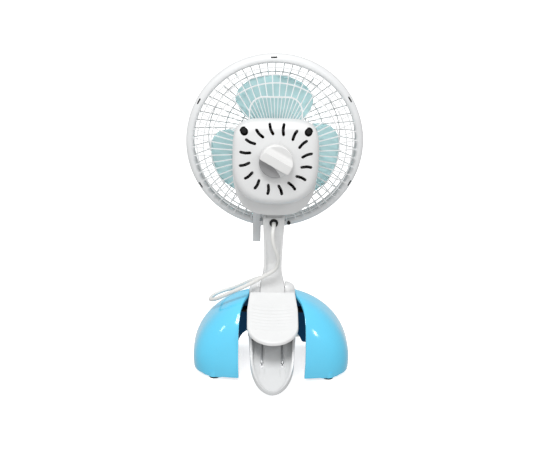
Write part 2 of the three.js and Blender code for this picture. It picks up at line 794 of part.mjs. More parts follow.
function stemBody() {
  const fromSide = new THREE.Shape();
  fromSide.moveTo(-stemHalfDepth, 0);
  fromSide.absarc(0, 0, stemFootRadius, Math.PI, 2 * Math.PI, false);
  fromSide.lineTo(stemHalfDepth, stemFootRadius);
  fromSide.lineTo(stemHalfDepth, tiltRise);
  fromSide.lineTo(forkEarRadius * 0.86, tiltRise + forkEarRadius * 0.5);
  fromSide.absarc(0, tiltRise, forkEarRadius, Math.PI / 6, Math.PI * 0.9, false);
  fromSide.lineTo(-stemHalfDepth, tiltRise - 4);
  let body = common(
    alongX(fromSide, -stemFootHalfWidth, stemFootHalfWidth, 9),
    alongY(stemOutline(0, tiltRise + 20), -20, 20),
  );
  const channel = polygon([
    [stemHalfDepth + 5, 12],
    [channelFloorY, 22],
    [channelFloorY, tiltRise - 22],
    [webFrontY - 0.6, tiltRise - 9],
    [stemHalfDepth + 5, tiltRise - 9],
  ]);
  body = cut(body, common(alongX(channel, -20, 20), alongY(stemOutline(channelWall, tiltRise + 20), -20, 20)));
  // fork: open to the front and above, closed behind by the web with the cord hole
  const webTop = cordHoleRise + 6.6;
  body = cut(
    body,
    block(-forkInnerX, forkInnerX, -20, webFrontY, tiltRise - lugRadius - 1.2, tiltRise + 30),
    block(-forkInnerX, forkInnerX, -20, 20, webTop, tiltRise + 30),
    bar('y', cordHoleRadius, -20, 20, [0, 0, cordHoleRise], 18),
    bar('x', pinRadius + runningGap, -40, 40, [0, 0, 0], 12),
    bar('x', pinRadius + runningGap, -40, 40, [0, 0, tiltRise], 12),
  );
  return body;
}

function cordGrommet() {
  const bore = cordDiameter / 2 + 0.1;
  return cut(
    join(
      bar('y', cordHoleRadius - gap, webFrontY - 0.1, webBackY + 2.6, [0, 0, cordHoleRise], 16),
      bar('y', cordHoleRadius + 0.9, webBackY + gap, webBackY + 1.5, [0, 0, cordHoleRise], 16),
    ),
    bar('y', bore, -20, 20, [0, 0, cordHoleRise], 12),
  );
}

// ---------------------------------------------------------------- head housings

// Rounded-square section of the head, lower half drawn out further than the upper.
function headSection(inset, down, lowerPower, y) {
  const around = 24;
  return Array.from({ length: around }, (_, j) => {
    const turn = (2 * Math.PI * j) / around;
    const upper = Math.sin(turn) >= 0;
    const power = upper ? housingPower : lowerPower;
    const height = (upper ? coverHalfHeight : down) - inset;
    return new THREE.Vector3(
      (coverHalfWidth - inset) * signedPower(Math.cos(turn), 2 / power),
      y,
      height * signedPower(Math.sin(turn), 2 / power) - coverCentreDrop,
    );
  });
}

const rearGuardY = (radius) => {
  const share = Math.max(0, (radius - rearHubRadius) / (guardRadius - rearHubRadius));
  return rearRimY + (rearHubY - rearRimY) * (1 - share ** dishPower);
};

function frontHousing() {
  const outer = loft([
    headSection(4, chinHalfHeight, chinPower, housingFrontY),
    headSection(1, chinHalfHeight, chinPower, 6),
    headSection(0, chinHalfHeight, chinPower, coverSeamY - gap),
  ]);
  const dish = [[0, -40], [guardRadius, -40]];
  for (const radius of [guardRadius, 76, 62, 50, 38, 28, rearHubRadius]) {
    dish.push([radius, rearGuardY(radius) + runningGap]);
  }
  dish.push([0, rearHubY + runningGap]);
  const cavity = loft([
    headSection(coverWall + 1, coverHalfHeight, coverLowerPower, rearHubY + 3),
    headSection(coverWall, coverHalfHeight, coverLowerPower, coverSeamY + 5),
  ]);
  let body = cut(join(outer, tiltLug()), turned(dish, 30), cavity);
  body = join(
    body,
    bar('y', bearingRadius + 3, frontBearingY - bearingLength / 2, rearHubY + 4, [0, 0, 0], 24),
  );
  for (const side of [1, -1]) {
    const place = [side * coverScrewX, 0, coverScrewRise - coverCentreDrop];
    body = join(body, bar('y', 4.6, rearHubY + 2, coverPostEndY - gap, place, 16));
    body = cut(body, bar('y', 1.9, rearHubY + 6, coverPostEndY, place, 12));
  }
  return cut(
    body,
    bar('y', bearingRadius + gap, frontBearingY - bearingLength / 2 + 1, 40, [0, 0, 0], 24),
    bar('y', shaftRadius + runningGap, -20, 40, [0, 0, 0], 16),
    bar('x', pinRadius + runningGap, -40, 40, [0, stemY, tiltDrop], 16),
  );
}

const tiltDrop = foldZ + tiltRise - shaftZ; // tilt hinge seen from the shaft
const tiltBackLimit = headTiltBack * degrees;

// The neck leans forward, so that it meets the stem's web flat when the head is tilted right back.
function tiltLug() {
  const outline = new THREE.Shape();
  outline.moveTo(stemY - lugRadius, tiltDrop);
  outline.absarc(stemY, tiltDrop, lugRadius, Math.PI, 2 * Math.PI + tiltBackLimit, false);
  const rootZ = -chinHalfHeight - coverCentreDrop + 3;
  const reach = (rootZ - tiltDrop - lugRadius * Math.sin(tiltBackLimit)) / Math.cos(tiltBackLimit);
  outline.lineTo(stemY + lugRadius * Math.cos(tiltBackLimit) - reach * Math.sin(tiltBackLimit), rootZ);
  outline.lineTo(stemY - lugRadius - 1.5, rootZ);
  return alongX(outline, -forkInnerX + slideGap, forkInnerX - slideGap, 12);
}

function ventCutter(index) {
  const middle = (ventTurn + (360 / ventCount) * index) * degrees;
  const steps = 2;
  const edges = [[], []];
  for (let i = 0; i <= steps; i += 1) {
    const share = i / steps;
    const radius = ventInnerRadius + (ventOuterRadius - ventInnerRadius) * share;
    const turn = middle - ventSwing * degrees * Math.sin((share - 0.5) * 1.6 * Math.PI);
    for (const [edge, side] of [[0, 1], [1, -1]]) {
      const swing = turn + (side * ventWidth) / 2 / radius;
      edges[edge].push(new THREE.Vector2(radius * Math.cos(swing), radius * Math.sin(swing) - knobDrop));
    }
  }
  return alongY(new THREE.Shape([...edges[0], ...edges[1].reverse()]), coverFaceY - 12, coverFaceY + 5);
}

function rearCover() {
  const skin = (inset) => loft([
    headSection(inset, coverHalfHeight, coverLowerPower, coverSeamY - (inset ? 3 : 0)),
    headSection(inset, coverHalfHeight, coverLowerPower, coverFaceY - coverRound - 4),
    headSection(inset + 1.2, coverHalfHeight, coverLowerPower, coverFaceY - coverRound / 2 - inset),
    headSection(inset + coverRound * 0.7, coverHalfHeight, coverLowerPower, coverFaceY - 0.8 - inset),
    headSection(inset + coverRound * 1.4, coverHalfHeight, coverLowerPower, coverFaceY - inset),
  ]);
  let body = cut(skin(0), skin(coverWall));
  for (const side of [1, -1]) {
    const place = [side * coverScrewX, 0, coverScrewRise - coverCentreDrop];
    const boss = bar('y', coverScrewRecessRadius + 1.6, coverPostEndY, coverFaceY, place, 16);
    body = join(body, common(boss, skin(0)));
    body = cut(
      body,
      bar('y', coverScrewRecessRadius, coverPostEndY + 2, coverFaceY + 5, place, 16),
      bar('y', 1.9, coverPostEndY - 5, coverFaceY, place, 12),
    );
  }
  for (let i = 0; i < ventCount; i += 1) body = cut(body, ventCutter(i));
  return cut(body, bar('y', knobSpindleRadius + runningGap, 20, 60, [0, 0, -knobDrop], 16));
}

function screw(headRadius, headHeight, shankRadius, shankLength) {
  return turned([
    [0, headHeight],
    [headRadius * 0.7, headHeight],
    [headRadius, headHeight * 0.5],
    [headRadius, 0],
    [shankRadius, 0],
    [shankRadius, -shankLength],
    [0, -shankLength],
  ], 8);
}

// ---------------------------------------------------------------- speed knob

// The knob is drawn about its own axis.
function speedKnob() {
  const seatY = coverFaceY + slideGap;
  const disc = turned([
    [0, seatY],
    [knobRadius - 1, seatY],
    [knobRadius, seatY + 1],
    [knobRadius - 0.4, seatY + knobHeight - 2.5],
    [knobRadius - 2.6, seatY + knobHeight - 0.4],
    [0, seatY + knobHeight],
  ], 26);
  // a finger scoop on each side of the grip
  const scoop = new THREE.Shape();
  scoop.moveTo(knobGripHalfWidth, 30);
  scoop.lineTo(knobGripHalfWidth, knobHeight - 2);
  scoop.quadraticCurveTo(knobGripHalfWidth + 1, knobSkirt - 1, knobRadius * 0.6, knobSkirt - 0.6);
  scoop.lineTo(knobRadius + 4, knobSkirt + 0.6);
  scoop.lineTo(knobRadius + 4, 30);
  const cutter = new THREE.ExtrudeGeometry(scoop, { depth: 60, bevelEnabled: false, curveSegments: 4 });
  cutter.translate(0, 0, -30);
  const scoops = [0, 180].map((turn) => solid(cutter.clone()
    .rotateY((turn + 90 - knobGripAngle) * degrees)
    .translate(0, seatY, 0)));
  return join(
    cut(disc, ...scoops),
    bar('y', knobSpindleRadius, seatY - 6.4, seatY + 2, [0, 0, 0], 16),
  );
}

function switchBody() {
  const backY = coverFaceY - coverWall - gap;
  return cut(
    join(
      bar('y', switchRadius, backY - switchDepth, backY, [0, 0, 0], 20),
      block(-switchRadius - 3, switchRadius + 3, backY - switchDepth, backY - 2, -5, 5),
    ),
    bar('y', knobSpindleRadius + runningGap, backY - 4, 60, [0, 0, 0], 16),
  );
}

// ---------------------------------------------------------------- guards

// A moulded lattice: rings and spokes in one skin. Each station gives the radius at an angle and
// the two faces there; the band that starts at a station is a full ring or spokes only.
function lattice(stations) {
  const columns = 2 * spokeCount;
  const positions = [];
  const faces = [];
  for (const { radiusAt, rear, front } of stations) {
    for (const face of [rear, front]) {
      for (let c = 0; c < columns; c += 1) {
        const middle = (2 * Math.PI * (Math.floor(c / 2) + 0.5)) / spokeCount;
        const side = c % 2 === 0 ? -1 : 1;
        const rough = radiusAt(middle);
        const turn = middle + side * Math.asin(Math.min(0.9, spokeWidth / 2 / rough));
        const radius = radiusAt(turn);
        positions.push(radius * Math.cos(turn), face(radius), radius * Math.sin(turn));
      }
    }
  }
  const rearAt = (i, c) => 2 * i * columns + (c % columns);
  const frontAt = (i, c) => (2 * i + 1) * columns + (c % columns);
  const quad = (a, b, c, d) => faces.push(a, b, c, a, c, d);
  const filled = (i, c) => i >= 0 && i < stations.length - 1 && (stations[i].band === 'ring' || c % 2 === 0);
  for (let i = 0; i < stations.length; i += 1) {
    for (let c = 0; c < columns; c += 1) {
      if (filled(i, c)) {
        quad(rearAt(i, c), rearAt(i + 1, c), rearAt(i + 1, c + 1), rearAt(i, c + 1));
        quad(frontAt(i, c), frontAt(i, c + 1), frontAt(i + 1, c + 1), frontAt(i + 1, c));
        if (!filled(i, c + 1)) quad(rearAt(i, c + 1), rearAt(i + 1, c + 1), frontAt(i + 1, c + 1), frontAt(i, c + 1));
        if (!filled(i, c + columns - 1)) quad(rearAt(i, c), frontAt(i, c), frontAt(i + 1, c), rearAt(i + 1, c));
      }
      if (filled(i, c) && !filled(i - 1, c)) {
        quad(rearAt(i, c), rearAt(i, c + 1), frontAt(i, c + 1), frontAt(i, c));
      }
      if (!filled(i, c) && filled(i - 1, c)) {
        quad(rearAt(i, c), frontAt(i, c), frontAt(i, c + 1), rearAt(i, c + 1));
      }
    }
  }
  const geometry = new THREE.BufferGeometry();
  geometry.setAttribute('position', new THREE.Float32BufferAttribute(positions, 3));
  geometry.setIndex(faces);
  return solid(geometry);
}

// Radius of a rounded rectangle at an angle.
const roundedBox = (halfWidth, halfHeight) => (turn) => (
  (Math.abs(Math.cos(turn) / halfWidth) ** archRibPower
    + Math.abs(Math.sin(turn) / halfHeight) ** archRibPower) ** (-1 / archRibPower));
const circle = (radius) => () => radius;

const guardScrewRise = -Math.sqrt(guardScrewRadius ** 2 - guardScrewX ** 2);
const guardScrewHole = () => (
  bar('y', screwShank + gap, rearRimY - 13, rearRimY + 5, [guardScrewX, 0, guardScrewRise], 8));

function rearGuard() {
  const rear = rearGuardY;
  const front = (radius) => rearGuardY(radius) - spokeDepth;
  const rimInner = guardRadius - rimWidth;
  const rimFront = () => rearRimY - rearRimDepth;
  const at = (radiusAt, band, frontFace = front) => ({ radiusAt, band, rear, front: frontFace });
  return lattice([
    at(roundedBox(hubRingHalfWidth, hubRingHalfHeight), 'ring'),
    at(roundedBox(hubRingHalfWidth + ribWidth, hubRingHalfHeight + ribWidth), 'spokes'),
    at(roundedBox(archRibHalfWidth - ribWidth / 2, archRibHalfHeight - ribWidth / 2), 'ring'),
    at(roundedBox(archRibHalfWidth + ribWidth / 2, archRibHalfHeight + ribWidth / 2), 'spokes'),
    at(circle(rearRingRadius - ribWidth / 2), 'ring'),
    at(circle(rearRingRadius + ribWidth / 2), 'spokes'),
    at(circle(rimInner), 'ring', rimFront),
    at(circle(guardRadius), 'end', rimFront),
  ]).subtract(guardScrewHole());
}

const frontRimRearY = rearRimY - rearRimDepth - gap;
const frontRimFrontY = frontRimRearY - frontRimDepth;
const frontGuardY = (radius) => frontRimFrontY - frontRise * (1 - (radius / guardRadius) ** frontDishPower);

function frontGuard() {
  const front = frontGuardY;
  const rear = (radius) => frontGuardY(radius) + spokeDepth;
  const rimInner = guardRadius - rimWidth;
  const rimRear = () => frontRimRearY;
  const at = (radiusAt, band, rearFace = rear) => ({ radiusAt, band, rear: rearFace, front });
  return lattice([
    at(circle(frontHubRadius), 'ring'),
    at(circle(frontHubRadius + 2.5), 'spokes'),
    at(circle(frontRingRadius - ribWidth / 2), 'ring'),
    at(circle(frontRingRadius + ribWidth / 2), 'spokes'),
    at(circle(rimInner), 'ring', rimRear),
    at(circle(guardRadius), 'end', rimRear),
  ]).subtract(guardScrewHole());
}

function frontCap() {
  const seat = frontGuardY(frontHubRadius);
  const stem = frontHubRadius - gap;
  return turned([
    [0, seat + spokeDepth],
    [stem, seat + spokeDepth],
    [stem, seat - gap - 0.4],
    [capRadius, seat - gap - 0.2],
    [capRadius, seat - 1.2],
    [capRadius - 3, seat - 2.2],
    [0, seat - 3.4],
  ], 28);
}

function guardLatch() {
  const plateFrontY = rearRimY + gap;
  const plateBackY = plateFrontY + latchThickness;
  const underRim = -guardRadius - gap;
  const lipHeight = 4;
  const lipY = frontGuardY(guardRadius - lipHeight) - gap;
  const topFrontY = rearGuardY(-latchTopRise) + gap;
  const kneeFrontY = rearGuardY(guardRadius - rimWidth) + gap;
  const outline = polygon([
    [topFrontY + latchThickness, latchTopRise],
    [kneeFrontY + latchThickness, -guardRadius + rimWidth],
    [plateBackY, underRim],
    [plateBackY, latchTipRise],
    [plateFrontY, latchTipRise],
    [plateFrontY, underRim - latchThickness],
    [lipY - latchThickness, underRim - latchThickness],
    [lipY - latchThickness, underRim + lipHeight],
    [lipY, underRim + lipHeight],
    [lipY, underRim],
    [plateFrontY, underRim],
    [kneeFrontY, -guardRadius + rimWidth],
    [topFrontY, latchTopRise],
  ]);
  return alongX(outline, latchX - latchHalfWidth, latchX + latchHalfWidth);
}

// ---------------------------------------------------------------- rotor

// One wide blade, pitched from the rear edge to the front edge.
function blade(index) {
  const middle = (bladeFirstAngle + (360 / bladeCount) * index) * degrees;
  const across = 5;
  const outward = [0, 0.3, 0.6, 0.85, 0.96, 1];
  const span = [bladeRootSpan, 70, 81, bladeTipSpan, 82, 66];
  const sections = outward.map((share, i) => {
    const radius = bladeHubRadius - 3 + (bladeRadius - bladeHubRadius + 3) * share;
    const sheet = (lift) => Array.from({ length: across + 1 }, (_, j) => {
      const side = j / across - 0.5;
      const turn = middle + side * span[i] * degrees;
      const pitch = 1 - 0.35 * share;
      const middleY = (bladeRearY + bladeFrontY) / 2;
      const y = middleY + side * (bladeRearY - bladeFrontY - bladeThickness) * pitch + lift;
      return new THREE.Vector3(radius * Math.cos(turn), y, radius * Math.sin(turn));
    });
    return [...sheet(bladeThickness / 2), ...sheet(-bladeThickness / 2).reverse()];
  });
  return loft(sections);
}

function fanBlade() {
  const hubFront = bladeFrontY - 3;
  const hub = turned([
    [shaftRadius + gap, bladeRearY],
    [6, bladeRearY],
    [6, hubFront + 5],
    [bladeHubRadius - bladeHubWall, hubFront + 5],
    [bladeHubRadius - bladeHubWall, bladeRearY],
    [bladeHubRadius, bladeRearY],
    [bladeHubRadius, hubFront + 4],
    [bladeHubRadius - 4, hubFront],
    [shaftRadius + gap, hubFront],
    [shaftRadius + gap, bladeRearY],
  ], 24);
  const bore = bar('y', bladeHubRadius - bladeHubWall + 0.2, hubFront + 5, 0, [0, 0, 0], 24);
  const blades = Array.from({ length: bladeCount }, (_, i) => blade(i));
  return join(hub, cut(join(...blades), bore, bar('y', 12, -60, 0, [0, 0, 0], 24)));
}

function bladeNut() {
  const seat = bladeFrontY - 3 - gap;
  return cut(
    turned([[0, seat], [7, seat], [7, seat - 3], [5, seat - 7], [0, seat - 8]], 6),
    bar('y', shaftRadius + gap, seat - 4, 0, [0, 0, 0], 16),
  );
}

function ring(inner, outer, from, to, sides = 30) {
  return turned([[inner, from], [outer, from], [outer, to], [inner, to], [inner, from]], sides);
}

function motorShaft() {
  return bar('y', shaftRadius, bladeFrontY - 6.5, shaftRearY, [0, 0, 0], 16);
}

function motorBracket() {
  const from = rearBearingY - bracketThickness / 2;
  const to = rearBearingY + bracketThickness / 2;
  const legX = statorRadius + gap;
  let body = join(
    block(-legX - bracketThickness, legX + bracketThickness, from, to, -6, 6),
    bar('y', bearingRadius + 2.4, rearBearingY - bearingLength / 2, rearBearingY + bearingLength / 2, [0, 0, 0], 20),
  );
  for (const side of [1, -1]) {
    const x0 = side > 0 ? legX : -legX - bracketThickness;
    body = join(body, block(x0, x0 + bracketThickness, rearHubY + 3 + gap, to, -6, 6));
  }
  return cut(body, bar('y', bearingRadius + gap, 0, 60, [0, 0, 0], 20));
}

// ---------------------------------------------------------------- fixings

function hingePin() {
  const reach = leverHalfWidth + 0.8;
  return bar('x', hingePinRadius, -reach, reach, [0, 0, 0], 16);
}

function foldPin() {
  return bar('x', pinRadius, -lobeOuterX + 1.5, lobeOuterX - 1.5, [0, 0, 0], 16);
}

function tiltBolt() {
  const headX = -stemTopHalfWidth - gap;
  return join(
    bar('x', pinRadius, headX - 0.2, stemTopHalfWidth + 3.4, [0, 0, tiltRise], 16),
    bar('x', 3.6, headX - 1.6, headX, [0, 0, tiltRise], 20),
  );
}

function tiltNut() {
  const nearX = stemTopHalfWidth + gap;
  return cut(
    bar('x', 4.1, nearX, nearX + 2.8, [0, 0, tiltRise], 6),
    bar('x', pinRadius + gap, nearX - 1, nearX + 5, [0, 0, tiltRise], 16),
  );
}

// A jaw pad with grip ridges across it, drawn about its back, ridges towards +Z or -Z.
function jawPad(backZ, side) {
  const ridges = 5;
  const depth = jawBackY - jawFrontY - 3;
  const from = jawFrontY + 1.5;
  const points = [[from, backZ], [from, backZ + side * jawPadThickness * 0.75]];
  for (let i = 0; i < ridges; i += 1) {
    const y = from + (depth * (i + 0.5)) / ridges;
    points.push([y, backZ + side * jawPadThickness]);
    points.push([from + (depth * (i + 1)) / ridges, backZ + side * jawPadThickness * 0.75]);
  }
  points.push([from + depth, backZ]);
  return alongX(polygon(points), -jawPadHalfWidth + 1, jawPadHalfWidth - 1);
}

// ---------------------------------------------------------------- cord

const plugHalfThickness = 6.9;
const plugHalfWidth = 12.6;
const plugNeckHalfWidth = 4.6;
const plugLength = 35;
const plugPinRadius = 2;
const plugPinLength = 19;
const plugPinSpacing = 18.6;
const coilX = -27;
const coilY = -101;
const coilInnerRadius = 20;
const coilPitch = cordDiameter + 0.5;
const coilLayerTurns = 2; // turns in each of the two layers
const coilSteps = 24; // a turn
const coilClimbDip = 1.2;

// The free stretch, by hand: down the stem's back, over the dome's +X shoulder, round and back
// over its front shoulder, and down to the floor behind which the coil lies.
const cordRoute = [
  [0, 14.2, 161.5],
  [0, 16.4, 161.4],
  [0.5, 21.5, 159.4],
  [1.2, 25.8, 154.2],
  [0.8, 27.4, 146.5],
  [-1.4, 26.8, 138.5],
  [-4.2, 25, 130.5],
  [-5, 22.6, 122.5],
  [-3.2, 20.8, 115.5],
  [2, 19.4, 110.2],
  [9.4, 18, 105.2],
  [17.1, 17, 100.3],
  [25.4, 16, 95],
  [34.6, 15.2, 90],
  [45.4, 11.4, 83.4],
  [55.4, 6.6, 76.6],
  [62.8, -1.6, 70.9],
  [65.4, -11.4, 68.2],
  [61.6, -21, 69],
  [53, -26, 71.6],
  [43, -26.4, 74.8],
  [33, -23.6, 79.8],
  [23.6, -20.4, 85.6],
  [14.4, -20.4, 89],
  [6.4, -24.6, 88.4],
  [2.2, -32, 84.2],
  [1.6, -40.4, 77],
  [2, -48, 67.4],
  [3, -54.6, 55.4],
  [4.2, -59.6, 42],
  [4.6, -63.4, 29],
  [2.4, -66.6, 17.4],
  [-3.8, -69, 8.2],
  [-12, -70.2, 3.2],
  [-22.4, -70.4, 2.3],
].map(([x, y, z]) => new THREE.Vector3(x, y, z));

function roundTube(points, steps, sides) {
  const outline = new THREE.Shape(Array.from({ length: sides }, (_, i) => {
    const turn = (2 * Math.PI * (i + 0.5)) / sides;
    return new THREE.Vector2((cordDiameter / 2) * Math.cos(turn), (cordDiameter / 2) * Math.sin(turn));
  }));
  const extrudePath = new THREE.CatmullRomCurve3(points, false, 'centripetal');
  return { length: extrudePath.getLength(), body: solid(new THREE.ExtrudeGeometry(outline, { steps, extrudePath })) };
}

const coilOuterRadius = coilInnerRadius + coilPitch * coilLayerTurns;
const coilRestZ = cordDiameter / 2 + 0.2;
const coilTopZ = coilRestZ + coilPitch;

// Two layers wound flat: in along the floor, up a layer in half a turn, and out again.
function coilPoints() {
  const centre = new THREE.Vector3(coilX, coilY, 0);
  const total = 2 * coilLayerTurns + 0.5;
  const points = [];
  for (let i = 0; i <= total * coilSteps; i += 1) {
    const turns = i / coilSteps;
    const climb = THREE.MathUtils.clamp((turns - coilLayerTurns) * 2, 0, 1);
    const inward = Math.min(turns, coilLayerTurns);
    const outward = Math.max(0, turns - coilLayerTurns - 0.5);
    const radius = coilOuterRadius - coilPitch * (inward - outward) - coilClimbDip * Math.sin(Math.PI * climb);
    const z = coilRestZ + (coilTopZ - coilRestZ) * (0.5 - 0.5 * Math.cos(Math.PI * climb));
    const turn = Math.PI / 2 + 2 * Math.PI * turns;
    points.push(new THREE.Vector3(radius * Math.cos(turn), radius * Math.sin(turn), z).add(centre));
  }
  const first = points[0].clone().add(new THREE.Vector3(cordDiameter, 0, 0));
  const last = points[points.length - 1].clone().add(new THREE.Vector3(cordDiameter, 0, 0));
  return [first, ...points, last];
}

// Least distance between the surfaces of a wound tube, leaving out its near neighbours.
function leastSelfGap(points, diameter) {
  const curve = new THREE.CatmullRomCurve3(points, false, 'centripetal');
  const count = points.length * 4;
  const samples = curve.getSpacedPoints(count);
  const skip = Math.ceil((diameter * 2.5) / (curve.getLength() / count));
  let least = Infinity;
  for (let i = 0; i < samples.length; i += 1) {
    for (let j = i + skip; j < samples.length; j += 1) least = Math.min(least, samples[i].distanceTo(samples[j]));
  }
  return least - diameter;
}

function lengthOf(points) {
  return points.slice(1).reduce((sum, point, i) => sum + point.distanceTo(points[i]), 0);
}

// The plug is drawn with its pins towards +X and its cord end at the origin.
function plugBody() {
  const plan = new THREE.Shape();
  plan.moveTo(0, -plugNeckHalfWidth);
  plan.lineTo(8, -plugNeckHalfWidth);
  plan.quadraticCurveTo(11, -plugHalfWidth, 19, -plugHalfWidth);
  plan.lineTo(plugLength, -plugHalfWidth + 0.8);
  plan.lineTo(plugLength, plugHalfWidth - 0.8);
  plan.lineTo(19, plugHalfWidth);
  plan.quadraticCurveTo(11, plugHalfWidth, 8, plugNeckHalfWidth);
  plan.lineTo(0, plugNeckHalfWidth);
  const side = polygon([
    [0, -cordDiameter / 2 - 1.4],
    [10, -plugHalfThickness],
    [plugLength, -plugHalfThickness],
    [plugLength, plugHalfThickness],
    [10, plugHalfThickness],
    [0, cordDiameter / 2 + 1.4],
  ]);
  let body = common(alongZ(plan, -plugHalfThickness - 1, plugHalfThickness + 1, 6), alongY(side, -20, 20));
  for (const y of [plugPinSpacing / 2, -plugPinSpacing / 2]) {
    body = cut(body, bar('x', plugPinRadius + gap, plugLength - 8, plugLength + 5, [0, y, 0], 16));
  }
  return body;
}

function plugPin(side) {
  const from = plugLength - 8 + gap;
  return bar('x', plugPinRadius, from, plugLength + plugPinLength, [0, (side * plugPinSpacing) / 2, 0], 16);
}

// ---------------------------------------------------------------- put together

piece('base_shell', baseShell(), bluePlastic, base);
const footNames = ['foot_back_left', 'foot_back_right', 'foot_front_left', 'foot_front_right'];
footPlaces.forEach(([x, y], i) => piece(footNames[i], foot(x, y), blackRubber, base));
piece('saddle', saddle(), whitePlastic, base);
for (const [side, name] of [[1, 'saddle_screw_left'], [-1, 'saddle_screw_right']]) {
  const mesh = piece(name, screw(3.2, 2, 1.5, 10), steel, base);
  mesh.position.set(side * saddleScrewX, saddleScrewY, saddleTabZ - saddleTabThickness - gap);
  mesh.rotation.x = -Math.PI / 2;
}
piece('upper_jaw_pad', jawPad(upperJawBottomZ - gap, -1), blackRubber, base);
piece('hinge_pin', hingePin(), steel, hinge);
piece('jaw_spring', tubeAlong(springPoints(), springWire / 2, 5), steel, hinge);
piece('fold_pin', foldPin(), steel, foldAxis);

piece('jaw_lever', jawLever(), whitePlastic, jaw);
const lowerPad = piece('lower_jaw_pad', jawPad(lowerJawTopZ + gap, 1), blackRubber, jaw);
lowerPad.position.set(0, -hingeY, -hingeZ);

piece('stem', stemBody(), whitePlastic, stem);
piece('cord_grommet', cordGrommet(), whitePlastic, stem);
piece('tilt_bolt', tiltBolt(), steel, stem);
piece('tilt_nut', tiltNut(), steel, stem);

piece('front_housing', frontHousing(), whitePlastic, head);
piece('rear_cover', rearCover(), whitePlastic, head);
for (const [side, name] of [[1, 'cover_screw_left'], [-1, 'cover_screw_right']]) {
  const mesh = piece(name, screw(3.2, 2, 1.5, 8), steel, head);
  mesh.position.set(side * coverScrewX, coverPostEndY + 2 + gap, coverScrewRise - coverCentreDrop);
}
piece('switch_body', switchBody(), darkPlastic, head).position.z = -knobDrop;
piece('rear_guard', rearGuard(), guardPlastic, head);
piece('front_guard', frontGuard(), guardPlastic, head);
piece('front_cap', frontCap(), whitePlastic, head);
piece('guard_latch', guardLatch(), guardPlastic, head);
piece('guard_screw', screw(guardScrewHeadRadius, 1.2, screwShank, guardScrewLength), darkPlastic, head)
  .position.set(guardScrewX, rearGuardY(guardScrewRadius - guardScrewHeadRadius) + gap, guardScrewRise);
piece('stator_core', ring(rotorRadius + slideGap, statorRadius, statorY - statorThickness / 2,
  statorY + statorThickness / 2), laminations, head);
piece('stator_winding', ring(windingInnerRadius, windingOuterRadius, statorY + statorThickness / 2 + gap,
  rearBearingY - bearingLength / 2 - gap, 26), copper, head);
piece('front_bearing', ring(shaftRadius + 0.35, bearingRadius, frontBearingY - bearingLength / 2 + 1 + gap,
  frontBearingY + bearingLength / 2, 18), brass, head);
piece('rear_bearing', ring(shaftRadius + 0.35, bearingRadius, rearBearingY - bearingLength / 2,
  rearBearingY + bearingLength / 2, 18), brass, head);
piece('motor_bracket', motorBracket(), steel, head);

piece('speed_knob', speedKnob(), knobPlastic, knob);

piece('fan_blade', fanBlade(), bladePlastic, rotor);
piece('blade_nut', bladeNut(), whitePlastic, rotor);
piece('motor_shaft', motorShaft(), steel, rotor);
piece('rotor_core', ring(shaftRadius + gap, rotorRadius, statorY - statorThickness / 2,
  statorY + statorThickness / 2, 24), laminations, rotor);

const freeCord = roundTube(cordRoute, 62, 8);
const coil = coilPoints();
const tailStart = coil[coil.length - 1].clone().add(new THREE.Vector3(gap, 0, 0));
const tailRoute = [0, 5, 10, 15].map((reach) => tailStart.clone().add(new THREE.Vector3(reach, 0, 0)));
const tail = roundTube(tailRoute, 6, 8);
piece('cord', freeCord.body, cordPlastic, lead);
piece('cord_coil', tubeAlong(coil, cordDiameter / 2, 6), cordPlastic, lead);
piece('cord_tail', tail.body, cordPlastic, lead);
const plug = new THREE.Group();
plug.position.copy(tailRoute[tailRoute.length - 1]).add(new THREE.Vector3(gap, 0, 0));
lead.add(plug);
piece('plug_body', plugBody(), whitePlastic, plug);
piece('plug_pin_left', plugPin(1), steel, plug);
piece('plug_pin_right', plugPin(-1), steel, plug);

// The origin is on the floor below the middle of the fan, with the cord left out.
const extent = new THREE.Box3().setFromObject(base);
fan.position.y = -(extent.min.y + extent.max.y) / 2;

console.log(`cord: free ${freeCord.length.toFixed(0)} mm, coil ${lengthOf(coil).toFixed(0)} mm, tail ${tail.length.toFixed(0)} mm`);
console.log(`least self gap: coil ${leastSelfGap(coil, cordDiameter).toFixed(2)} mm, `
  + `spring ${leastSelfGap(springPoints(), springWire).toFixed(2)} mm`);

export default fan;
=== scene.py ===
# Small clip-on desk fan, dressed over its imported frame.
# Lengths are millimetres in the dome's own axes, and place() turns them into metres in the frame.
from math import asin, atan, atan2, cos, dist, hypot, pi, radians, sin, sqrt, tan

import bmesh
import bpy
from mathutils import Matrix, Vector


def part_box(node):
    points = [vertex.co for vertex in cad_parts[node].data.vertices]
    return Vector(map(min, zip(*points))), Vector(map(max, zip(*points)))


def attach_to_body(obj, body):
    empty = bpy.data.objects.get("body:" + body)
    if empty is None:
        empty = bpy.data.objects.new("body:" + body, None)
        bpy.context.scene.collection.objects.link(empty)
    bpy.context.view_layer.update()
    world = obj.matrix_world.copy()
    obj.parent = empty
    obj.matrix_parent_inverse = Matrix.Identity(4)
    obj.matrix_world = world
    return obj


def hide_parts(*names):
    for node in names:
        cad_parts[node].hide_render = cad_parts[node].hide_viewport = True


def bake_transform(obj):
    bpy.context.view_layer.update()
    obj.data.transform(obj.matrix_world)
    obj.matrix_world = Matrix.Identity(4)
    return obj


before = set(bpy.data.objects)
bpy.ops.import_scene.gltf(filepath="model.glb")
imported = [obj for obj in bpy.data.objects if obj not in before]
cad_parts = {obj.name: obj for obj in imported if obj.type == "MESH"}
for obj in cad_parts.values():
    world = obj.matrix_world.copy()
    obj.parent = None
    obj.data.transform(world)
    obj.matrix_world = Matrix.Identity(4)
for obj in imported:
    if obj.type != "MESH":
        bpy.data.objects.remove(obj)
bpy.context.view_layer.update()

MM = 0.001
HINGE_Y = 42.0
HINGE_Z = 50.0
pin_low, pin_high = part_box("hinge_pin")
